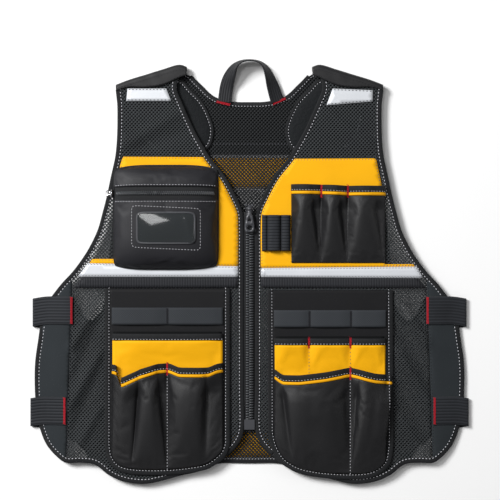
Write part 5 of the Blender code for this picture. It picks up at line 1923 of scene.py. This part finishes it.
@dataclass
class PocketUnit:
    """Pockets below the waist: backing, webbing, upper pocket and gathered lower pocket."""

    side: float
    label: str
    webbing_width: float = 0.0240
    webbing_bow: float = 0.0022
    upper_bulge: float = 0.0068
    lower_bulge: float = 0.0150
    wall: float = 0.0012
    seam_in: float = 0.0012
    items: list[Object] = field(default_factory=list)
    tacks: list[Array] = field(default_factory=list)
    dark: list[Array] = field(default_factory=list)
    seams: list[Array] = field(default_factory=list)
    dividers: list[Array] = field(default_factory=list)

    def build(self) -> None:
        """Make the unit from its backing up."""
        self.build_backing()
        self.build_webbing()
        self.build_upper()
        self.build_lower()
        self.build_seams()

    def edge(self) -> Array:
        """Edge of the unit, from the zip's side round below to the outer side."""
        table = places(UNIT_OUTLINE[self.label], self.side)
        sides = [resample(table[:2], 0.003)[:-1], smooth_path(table[1:-1], 0.003),
                 resample(table[-2:], 0.003)[1:]]
        return np.concatenate(sides)

    def foot(self) -> Callable[[Array], Array]:
        """Line where the cloth inside the unit's binding is sewn."""
        part = smooth_path(places(UNIT_OUTLINE[self.label][1:-1], self.side), 0.003)
        part = inward(part, BINDING_WIDTH + 3 * GAP, self.side)
        out = np.abs(part[:, 0])
        order = np.argsort(out)
        return lambda share: np.interp(np.asarray(share) * HALF_WIDTH, out[order],
                                       part[order, 1])

    def build_backing(self) -> None:
        """Backing cloth and the tape that binds its edge."""
        edge = self.edge()
        inner = inward(edge, 0.0030, self.side)
        outline = ring_of(inner, 0.005)
        sheet = panel_sheet(outline, flat_height(BACKING_MID), 0.0060)
        keep(self.items, walled("unit_cloth_" + self.label, sheet, 0.0014, BACKING,
                                ["unit_backing_" + self.label]))
        middle = inward(edge, BINDING_WIDTH / 2, self.side)
        rows = level_path(middle, BACKING_MID + 0.0003)
        rows[:, 2] += 0.0002 * ripple(rows[:, 0], rows[:, 1], 0.02, 41)
        keep(self.items, band("unit_edge_tape_" + self.label, rows, BINDING_WIDTH, 0.0030, TAPE))

    def build_webbing(self) -> None:
        """Webbing tacked at its ends and between its loops."""
        top, tacks = WEBBING_TACKS[self.label]
        gathers = Gathers(tacks, (BOW_CELL,) * (len(tacks) - 1), self.webbing_bow, self.side)
        grid, _ = gathers.cloth(level_line(top), level_line(top, self.webbing_width), OPEN_DROP,
                                BACKING_TOP, self.wall, 9, upright=True)
        sheet = grid_sheet(grid)
        keep(self.items, walled("tool_webbing_" + self.label, sheet, self.wall, WEBBING,
                                ["webbing_" + self.label]))
        y = up_at(top)
        self.dark = [tack_path(out, self.side, y - 0.001, y - self.webbing_width + 0.001)
                     for out in tacks[1:-1]]

    def build_upper(self) -> None:
        """Yellow upper pocket, whose foot goes behind the lower one."""
        top, tacks = UPPER_MOUTH[self.label]
        gathers = Gathers(tacks, (BOW_CELL,) * (len(tacks) - 1), self.upper_bulge, self.side,
                          40 if self.label == "left" else 26)
        mouth = PocketMouth("upper_pocket_" + self.label, gathers,
                            lambda drop: level_line(top, drop), BACKING_TOP, piping=False)
        self.items += mouth.build("upper_pocket_" + self.label)
        # dark strip on the backing round the upper pocket's mouth: a painted shadow line above
        # its rim
        corners = [(top - 0.006, tacks[0] + 0.004), (top - 0.006, tacks[-1] - 0.004),
                   (top + 0.0045, tacks[-1] - 0.004), (top + 0.0045, tacks[0] + 0.004)]
        dark = panel_sheet(straight(corners, self.side, 0.006),
                           flat_height(BACKING_TOP + 0.0004), 0.008)
        walled("upper_pocket_lining_" + self.label, dark, 0.0002, LINING_AND_SHADOW)
        foot = self.foot()
        start = level_line(top, mouth.used())
        middle = sum(tacks) / len(tacks)
        hidden = up_at(max(row[0] for row in LOWER_MOUTH[self.label]))
        high, low = float(start(middle)), float(foot(middle))
        shown = (high - hidden) / (high - low)
        drop = [(0.0, 1.0), (0.5 * shown, 0.55), (shown, 0.06), (1.3 * shown, 0.0), (1.0, 0.0)]
        grid, sewn = gathers.cloth(start, foot, drop, BACKING_TOP, self.wall, 56)
        dip = up_at(min(row[0] for row in LOWER_MOUTH[self.label])) - 0.012
        narrow = 0.04 * smooth_step((np.linspace(0, 1, 56) - (high - dip) / (high - low)) / 0.06)
        grid[:, :, 0] += (self.side * middle * HALF_WIDTH - grid[:, :, 0]) * narrow[:, None]
        keep(self.items, pocket_cloth("upper_pocket_cloth_" + self.label, grid, sewn, self.wall,
                                      YELLOW, ["upper_pocket_" + self.label], Wrinkles.TAUT,
                                      0.0008))
        y = up_at(top)
        self.tacks = [tack_path(out, self.side, y + 0.002, y - 0.0140) for out in tacks[1:-1]]
        self.seams = [mouth.seam_path(0.0078, tacks[0] + 0.004, tacks[-1] - 0.004)]
        lower = drawn_line(LOWER_MOUTH[self.label], -0.001)
        self.dividers = [plumb(self.side * out * HALF_WIDTH, y - 0.0150, float(lower(out)))
                         for out in tacks[1:-1]]

    def build_lower(self) -> None:
        """Lower pocket with its dipping mouth, two full cells and a gathered foot."""
        tacks = LOWER_TACKS[self.label]
        gathers = Gathers(tacks, PLEAT_CELL[self.label], self.lower_bulge, self.side, 44)
        table = LOWER_MOUTH[self.label]
        mouth = PocketMouth("lower_pocket_" + self.label, gathers,
                            lambda drop: drawn_line(table, drop), LINING_TOP,
                            step=MOUTH_STEP[self.label])
        self.items += mouth.build("lower_pocket_" + self.label)
        foot = self.foot()
        grid, sewn = gathers.cloth(drawn_line(table, mouth.used()), foot, POCKET_DROP,
                                   LINING_TOP, self.wall, 52, settle=0.22)
        keep(self.items, pocket_cloth("lower_pocket_cloth_" + self.label, grid, sewn, self.wall,
                                      NYLON, ["lower_pocket_" + self.label], Wrinkles.EASY))
        x = self.side * tacks[1] * HALF_WIDTH
        y = float(drawn_line(table)(tacks[1]))
        low = float(foot(tacks[1]))
        self.tacks.append(zigzag((x, y + 0.0015), (x, y - 0.0170)))
        self.seams += [mouth.seam_path(0.0074, tacks[0] + 0.004, tacks[-1] - 0.004),
                       plumb(x, y - 0.018, low)]

    def build_seams(self) -> None:
        """Pale seams on the unit's binding and mouths, and its red bartacks."""
        ground = Ground(self.items)
        edge = resample(inward(self.edge(), BINDING_WIDTH - self.seam_in, self.side), SEAM_STEP)
        ground.sew("unit_seams_" + self.label, [edge] + self.seams, PALE_THREAD)
        if self.dividers:
            ground.sew("upper_pocket_dividers_" + self.label, self.dividers, GREY_THREAD)
        ground.sew("webbing_bartacks_" + self.label, self.dark, DARK_THREAD, TACK)
        ground.sew("unit_bartacks_" + self.label, self.tacks, RED_THREAD, TACK)


@dataclass
class ToolPocket:
    """Three tool slots on the chest, and the row of pen loops beside them."""

    bulge: float = 0.0130
    foot: float = 0.520
    seam_top: float = 0.675
    tack_span: tuple[float, float] = (0.703, 0.673)
    side_in: tuple[float, ...] = (0.006, 0.0, 0.0, -0.006)
    wall: float = 0.0012
    pen_bulge: float = 0.0072
    pen_mouth: float = 0.632
    pen_foot: float = 0.548

    def build(self) -> None:
        """Make the slots and the loops."""
        self.build_slots()
        self.build_loops()

    def build_slots(self) -> None:
        """Slots that narrow down to a flat sewn foot."""
        gathers = Gathers(TOOL_TACKS, (TOOL_CELL,) * 3, self.bulge, 1.0, 32)
        mouth = PocketMouth("tool_pocket", gathers,
                            lambda drop: drawn_line(TOOL_MOUTH, drop), TRIM_TOP)
        items = mouth.build("tool_pocket")
        grid, sewn = gathers.cloth(drawn_line(TOOL_MOUTH, mouth.used()), level_line(self.foot),
                                   POCKET_DROP, TRIM_TOP, self.wall, 46, settle=0.22)
        items.append(pocket_cloth("tool_pocket_cloth", grid, sewn, self.wall, NYLON,
                                  ["tool_pocket"], Wrinkles.EASY, 0.0022))
        ground = Ground(items)
        foot = up_at(self.foot)
        pale = [mouth.seam_path(0.0076, TOOL_TACKS[0] + 0.003, TOOL_TACKS[-1] - 0.003)]
        seams = [plumb((out + shift) * HALF_WIDTH, up_at(self.seam_top), foot + 0.001)
                 for out, shift in zip(TOOL_TACKS, self.side_in)]
        seams.append(resample(np.array([(TOOL_TACKS[0] * HALF_WIDTH, foot + 0.0015),
                                        (TOOL_TACKS[-1] * HALF_WIDTH, foot + 0.0015)]),
                              LINE_STEP))
        ground.sew("tool_pocket_seams", pale, PALE_THREAD)
        ground.sew("tool_slot_seams", seams, DARK_THREAD)
        high, low = self.tack_span
        tacks = [zigzag(at(high, out), at(low, out)) for out in TOOL_TACKS[1:-1]]
        ground.sew("tool_pocket_bartacks", tacks, RED_THREAD, TACK)

    def build_loops(self) -> None:
        """Elastic loops for pens, open above and below."""
        gathers = Gathers(PEN_TACKS, (BOW_CELL,) * 3, self.pen_bulge, 1.0, 18)
        grid, _ = gathers.cloth(level_line(self.pen_mouth), level_line(self.pen_foot),
                                OPEN_DROP, TRIM_TOP, self.wall, 26, upright=True)
        grid[:, :, 2] += 0.0002 * ripple(grid[:, :, 0], grid[:, :, 1], 0.012, 51)
        item = walled("pen_loop_elastic", grid_sheet(grid), self.wall, ELASTIC, ["pen_loops"])
        high, low = up_at(self.pen_mouth), up_at(self.pen_foot)
        seams = [plumb(out * HALF_WIDTH, high - 0.001, low + 0.001) for out in PEN_TACKS[1:-1]]
        Ground([item]).sew("pen_loop_seams", seams, DARK_THREAD)


@dataclass
class ChestPouch:
    """Stuffed pouch on the chest: lid, zip, front with a clear window, and its bright pull."""

    bulge: float = 0.0200
    wall: float = 0.0012
    fineness: int = 58
    window: tuple[float, float, float, float] = (-0.1164, 0.0608, 0.0388, 0.0200)
    axis: tuple[float, float, float] = (-0.19395, 0.10952, 0.0171)

    def point(self, across: Array, up: Array, lift: float = 0.0) -> Array:
        """Places on the pouch's swelling, across and up from -1 to 1."""
        top, foot, outer, inner = POUCH_BOX
        corner = 1.0 - 0.035 * np.abs(up) ** 8
        out = (outer + inner) / 2 + (inner - outer) / 2 * across * corner
        along = (top + foot) / 2 + (top - foot) / 2 * up
        along = along - 0.0095 * np.sign(up) * np.abs(up) ** 3 * across ** 4
        swell = np.sqrt(np.maximum((1 - across ** 4) * (1 - up ** 4), 0.0))
        height = TRIM_TOP + GAP + self.wall / 2 + self.bulge * swell + lift
        return np.stack([out * HALF_WIDTH, up_at(along), height], axis=-1)

    def grid(self, high: float, low: float, rows: int, first: float = -1.0,
             lift: float = 0.0) -> Array:
        """Grid of the pouch between two shares up it, closer near its edges."""
        a = np.linspace(math.asin(first) * 2 / math.pi, 1, self.fineness)
        v = np.linspace(math.asin(high) * 2 / math.pi, math.asin(low) * 2 / math.pi, rows)
        across, up = np.meshgrid(np.sin(a * math.pi / 2), np.sin(v * math.pi / 2))
        return self.point(across, up, lift)

    def build(self) -> None:
        """Make the pouch, its zip and its window."""
        upper, lower = POUCH_ZIP
        gap = GAP / ((POUCH_BOX[0] - POUCH_BOX[1]) * LENGTH / 2)
        items = []
        for name, node, high, low, rows in (
                ("pouch_lid_cloth", "chest_pouch_lid", 1.0, upper + gap, 24),
                ("pouch_front_cloth", "chest_pouch_front", lower - gap, -1.0, 54)):
            grid = self.grid(high, low, rows)
            sheet = grid_sheet(grid)
            mask = pinned_edges(grid, (0, 1, -1, -2))
            sheet = relaxed(sheet, mask, 0.008, 0.8, 0.0012)
            items.append(walled(name, sheet, self.wall, POUCH_NYLON, [node]))
        tape = grid_sheet(self.grid(upper + 0.06, lower - 0.06, 11, -0.97, -0.0016))
        items.append(walled("pouch_zip_tape", tape, self.wall, TAPE, ["chest_pouch_zip"]))
        ground = Ground(items)
        self.build_zip(ground, upper, lower)
        self.build_window(ground)
        self.build_edges()
        self.build_slider()

    def row(self, up: float, first: float, last: float) -> Array:
        """Flat line across the pouch at a share up it."""
        across = np.linspace(first, last, 90)
        return self.point(across, np.full(90, up))[:, :2]

    def build_zip(self, ground: Ground, upper: float, lower: float) -> None:
        """Teeth between the tape's two sides, and the seams beside it."""
        middle = ground.laid(self.row((upper + lower) / 2, -0.93, 0.93), 0.0010)
        run_of("pouch_zip_teeth", "teeth", [middle], POUCH_TEETH, TOOTH)
        seams = [self.row(up, -0.95, 0.95) for up in (upper + 0.035, lower - 0.035)]
        ground.sew("pouch_zip_seams", seams, PALE_THREAD)

    def window_outline(self, margin: float, corner: float = 0.35,
                       skew: float = 0.0) -> Array:
        """Rounded frame round the window, a margin larger than it."""
        x, y, half_width, half_height = self.window
        turn = np.linspace(0, math.tau, 160, endpoint=False)
        a = np.sign(np.cos(turn)) * np.abs(np.cos(turn)) ** corner * (half_width + margin)
        b = np.sign(np.sin(turn)) * np.abs(np.sin(turn)) ** corner * (half_height + margin)
        shape = np.column_stack([x + a, y + b - skew * a])
        return ring_of(shape, 0.0025)

    def build_window(self, ground: Ground) -> None:
        """Clear vinyl with a welded rim and a stitched frame."""
        centre_x, centre_y, half_width, half_height = self.window
        across, up = np.meshgrid(np.linspace(-1, 1, 44), np.linspace(1, -1, 26))
        x = centre_x + (half_width + 0.0012) * across * (1 - 0.03 * up ** 8)
        y = centre_y + (half_height + 0.0012) * up * (1 - 0.03 * across ** 8)
        flat = np.column_stack([x.ravel(), y.ravel()])
        terms = np.column_stack([np.ones(len(flat)), flat, flat ** 2, flat[:, 0] * flat[:, 1]])
        laid = ground.laid(flat, 0.0)[:, 2]
        level = terms @ np.linalg.lstsq(terms, laid, rcond=None)[0]
        level = level + max(float((laid - level).max()), 0.0) + 0.0008
        dome = (1 - across ** 2) * (1 - up ** 2)
        fold = np.exp(-((across - 0.78 + 0.10 * up) / 0.10) ** 2) * (1 - up ** 2)
        bulge = (0.0024 * dome + 0.0007 * fold - 0.0005 * across * up).ravel()
        grid = np.column_stack([flat, level + bulge]).reshape(26, 44, 3)
        walled("pouch_window_vinyl", grid_sheet(grid), 0.0008, VINYL, ["pouch_window"])
        rim = self.window_outline(0.0014, 0.2)
        path = ground.laid(looped(rim), 0.0008)[:-1]
        band("pouch_window_rim", path, 0.0026, 0.0022, PLASTIC, closed=True)
        outer = self.window_outline(0.0091, 0.12, 0.045)
        ground.sew("pouch_window_seams", [looped(outer)], PALE_THREAD)

    def build_edges(self) -> None:
        """Piped edge round the pouch where it is sewn to the chest."""
        turn = np.linspace(-1, 1, 60)
        sides = [self.point(np.full(60, -1.0), turn), self.point(turn, np.full(60, 1.0)),
                 self.point(np.full(60, 1.0), -turn), self.point(-turn, np.full(60, -1.0))]
        path = np.concatenate([s[:-1] for s in sides])
        path[:, 2] = TRIM_TOP + 0.0016
        path = ring_of(path, 0.003)
        band("pouch_edge_piping", path, 0.0036, 0.0028, TAPE, closed=True)

    def build_slider(self) -> None:
        """Bright slider with its two ears, pin and short pull."""
        x, y, z = self.axis
        low = TRIM_TOP + GAP
        parts = [rounded_block((x, y, low + 0.0011), (0.0060, 0.0110, 0.0022), 0.0007)]
        for sign in (-1, 1):
            parts.append(rounded_block((x, y + sign * 0.0046, (low + z + 0.0011) / 2),
                                       (0.0028, 0.0018, z + 0.0011 - low), 0.0005))
        pin = tube_mesh(np.array([(x, y - 0.0048, z), (x, y, z), (x, y + 0.0048, z)]),
                        0.0014, 0.0014, square=1.0)
        piece("pouch_slider_body", *joined(parts + [pin]), PLATED, ["pouch_slider"])
        plate = pull_plate(0.0080, 0.0090, 0.0062, 0.0016)
        points = plate[0] * [-1, 1, 1] + [x, y, z]
        piece("pouch_pull_plate", points, [f[::-1] for f in plate[1]], plate[2], PLATED,
              ["pouch_pull"], "pouch_pull_body")


@dataclass
class SideStrap:
    """Elastic strap sewn to the front, folded round the free edge and back to the back."""

    side: float
    label: str
    name: str
    top: float
    inner: float
    reach: float
    width: float = 0.0395
    wall: float = 0.0012
    slant: float = 0.0060
    seat: float = 0.0010
    back_end: float = 0.852
    tack_in: float = 0.0022
    tack_width: float = 0.0028

    def section(self) -> Array:
        """Places across (x, height) from the sewn end, round the bend and back."""
        seated = self.seat + GAP + self.wall / 2
        above = BINDING_WALL / 2 + GAP + 0.00015 + self.wall / 2
        low = self.wall / 2 + GAP
        start = self.inner * HALF_WIDTH
        high = SIDE_EDGE + above
        radius = (high - low) / 2
        bend = self.reach * HALF_WIDTH - self.wall / 2 - radius
        head = up_at(self.top)
        x = np.linspace(start, bend, 20)
        z = np.maximum(front_height(x, np.full(20, head)), SIDE_EDGE) + above
        z[0] += seated - above
        z[-1] = high
        turn = np.pi * (0.5 - np.linspace(0, 1, 13)[1:])
        arc = np.column_stack([bend + radius * np.cos(turn), low + radius + radius
                               * np.sin(turn)])
        back = np.column_stack([np.linspace(bend, self.back_end * HALF_WIDTH + 2 * GAP, 8)[1:],
                                np.full(7, low)])
        return np.concatenate([np.column_stack([x, z]), arc, back])

    def build(self) -> None:
        """Make the strap with its sewn end."""
        section = self.section()
        run = lengths(section)
        fall = self.slant * smooth_step((run - 0.6 * run[19]) / (run[-1] - run[19]))
        head = up_at(self.top)
        rows = []
        for share in np.linspace(0, 1, 15):
            y = head - fall - self.width * share
            rows.append(np.column_stack([self.side * section[:, 0], y, section[:, 1]]))
        grid = np.stack(rows)
        sheet = grid_sheet(grid)
        edge = np.minimum(np.linspace(0, 1, 15), 1 - np.linspace(0, 1, 15))
        swell = 0.0003 * np.sin(edge * 40)[:, None] * np.sin(run[None, :] * 900)
        sheet.points[:, 2] += np.maximum(swell, 0.0).ravel()
        name = self.name + "_" + self.label
        item = walled("side_elastic_" + name, sheet, self.wall, ELASTIC,
                      ["elastic_strap_" + name])
        x = self.side * (self.inner * HALF_WIDTH + self.tack_in)
        tack = zigzag((x, head - 0.001), (x, head - self.width + 0.001), self.tack_width)
        Ground([item]).sew("side_bartack_" + name, [tack], RED_THREAD, TACK)


@dataclass
class Studio:
    """Pale floor, soft light from the upper left and a camera straight above."""

    view_width: float = 0.7045
    lens: float = 100.0
    sensor: float = 36.0
    centre: tuple[float, float] = (0.0007, 0.0300)
    focus_height: float = 0.012
    floor_reach: float = 6.0
    floor_grey: float = 0.93
    sky: float = 0.18
    lights: tuple[tuple[str, tuple[float, float, float], float, float], ...] = (
        ("key", (-2.25, 1.5, 2.4), 1.15, 158.0),  # name, place, size, power
        ("side", (1.7, 0.3, 1.0), 0.8, 4.0),
        ("gloss", (-0.62, 0.66, 2.2), 0.7, 9.0),
    )

    def build(self) -> None:
        """Make the floor, lights and camera."""
        mesh = bpy.data.meshes.new("floor")
        half = self.floor_reach
        mesh.from_pydata([(-half, -half, 0), (half, -half, 0), (half, half, 0),
                          (-half, half, 0)], [], [(0, 1, 2, 3)])
        floor = show("floor", mesh)
        material = bpy.data.materials.new("pale_floor")
        material.use_nodes = True
        shader = material.node_tree.nodes["Principled BSDF"]
        shader.inputs["Base Color"].default_value = (*[self.floor_grey] * 3, 1.0)
        shader.inputs["Roughness"].default_value = 0.9
        mesh.materials.append(material)
        for light in self.lights:
            self.light(*light)
        world = bpy.context.scene.world or bpy.data.worlds.new("studio")
        bpy.context.scene.world = world
        world.use_nodes = True
        sky = world.node_tree.nodes["Background"]
        sky.inputs["Color"].default_value = (1.0, 1.0, 1.0, 1.0)
        sky.inputs["Strength"].default_value = self.sky
        self.camera()

    def light(self, name: str, place: tuple[float, float, float], size: float,
              power: float) -> None:
        """Large soft light that faces the vest."""
        data = bpy.data.lights.new(name, "AREA")
        data.size = size
        data.energy = power
        item = show(name, data)
        item.location = place
        item.rotation_euler = (-Vector(place)).to_track_quat("-Z", "Y").to_euler()

    def camera(self) -> None:
        """Camera above the vest with a long lens, its picture's top toward the collar."""
        data = bpy.data.cameras.new("camera")
        data.lens = self.lens
        data.sensor_width = self.sensor
        item = show("camera", data)
        item.location = (*self.centre,
                         self.view_width * self.lens / self.sensor + self.focus_height)
        bpy.context.scene.camera = item
        bpy.context.scene.view_settings.view_transform = "Standard"


def assemble() -> list[tuple[str, Callable[[], None]]]:
    """The vest's sub-assemblies in their order, each with its name."""
    parts: list[tuple[str, Callable[[], None]]] = [("back", Back().build),
                                                   ("collar loop", HangLoop().build)]
    for side, label in SIDES:
        parts.append((f"front, {label}", Front(side, label).build))
        parts.append((f"shoulder, {label}", Shoulder(side, label).build))
        parts.append((f"pocket unit, {label}", PocketUnit(side, label).build))
        for name, top, inner, reach in (("upper", 0.441, 0.802, 0.990),
                                        ("lower", 0.205, 0.834, 1.000)):
            strap = SideStrap(side, label, name, top, inner, reach)
            parts.append((f"{name} strap, {label}", strap.build))
    parts += [("front zip", FrontZip().build), ("tool pocket", ToolPocket().build),
              ("chest pouch", ChestPouch().build), ("studio", Studio().build)]
    return parts


def main() -> None:
    """Build every sub-assembly."""
    logging.basicConfig(level=logging.INFO, format="%(message)s")
    for name, build in assemble():
        build()


if __name__ == "__main__":
    main()
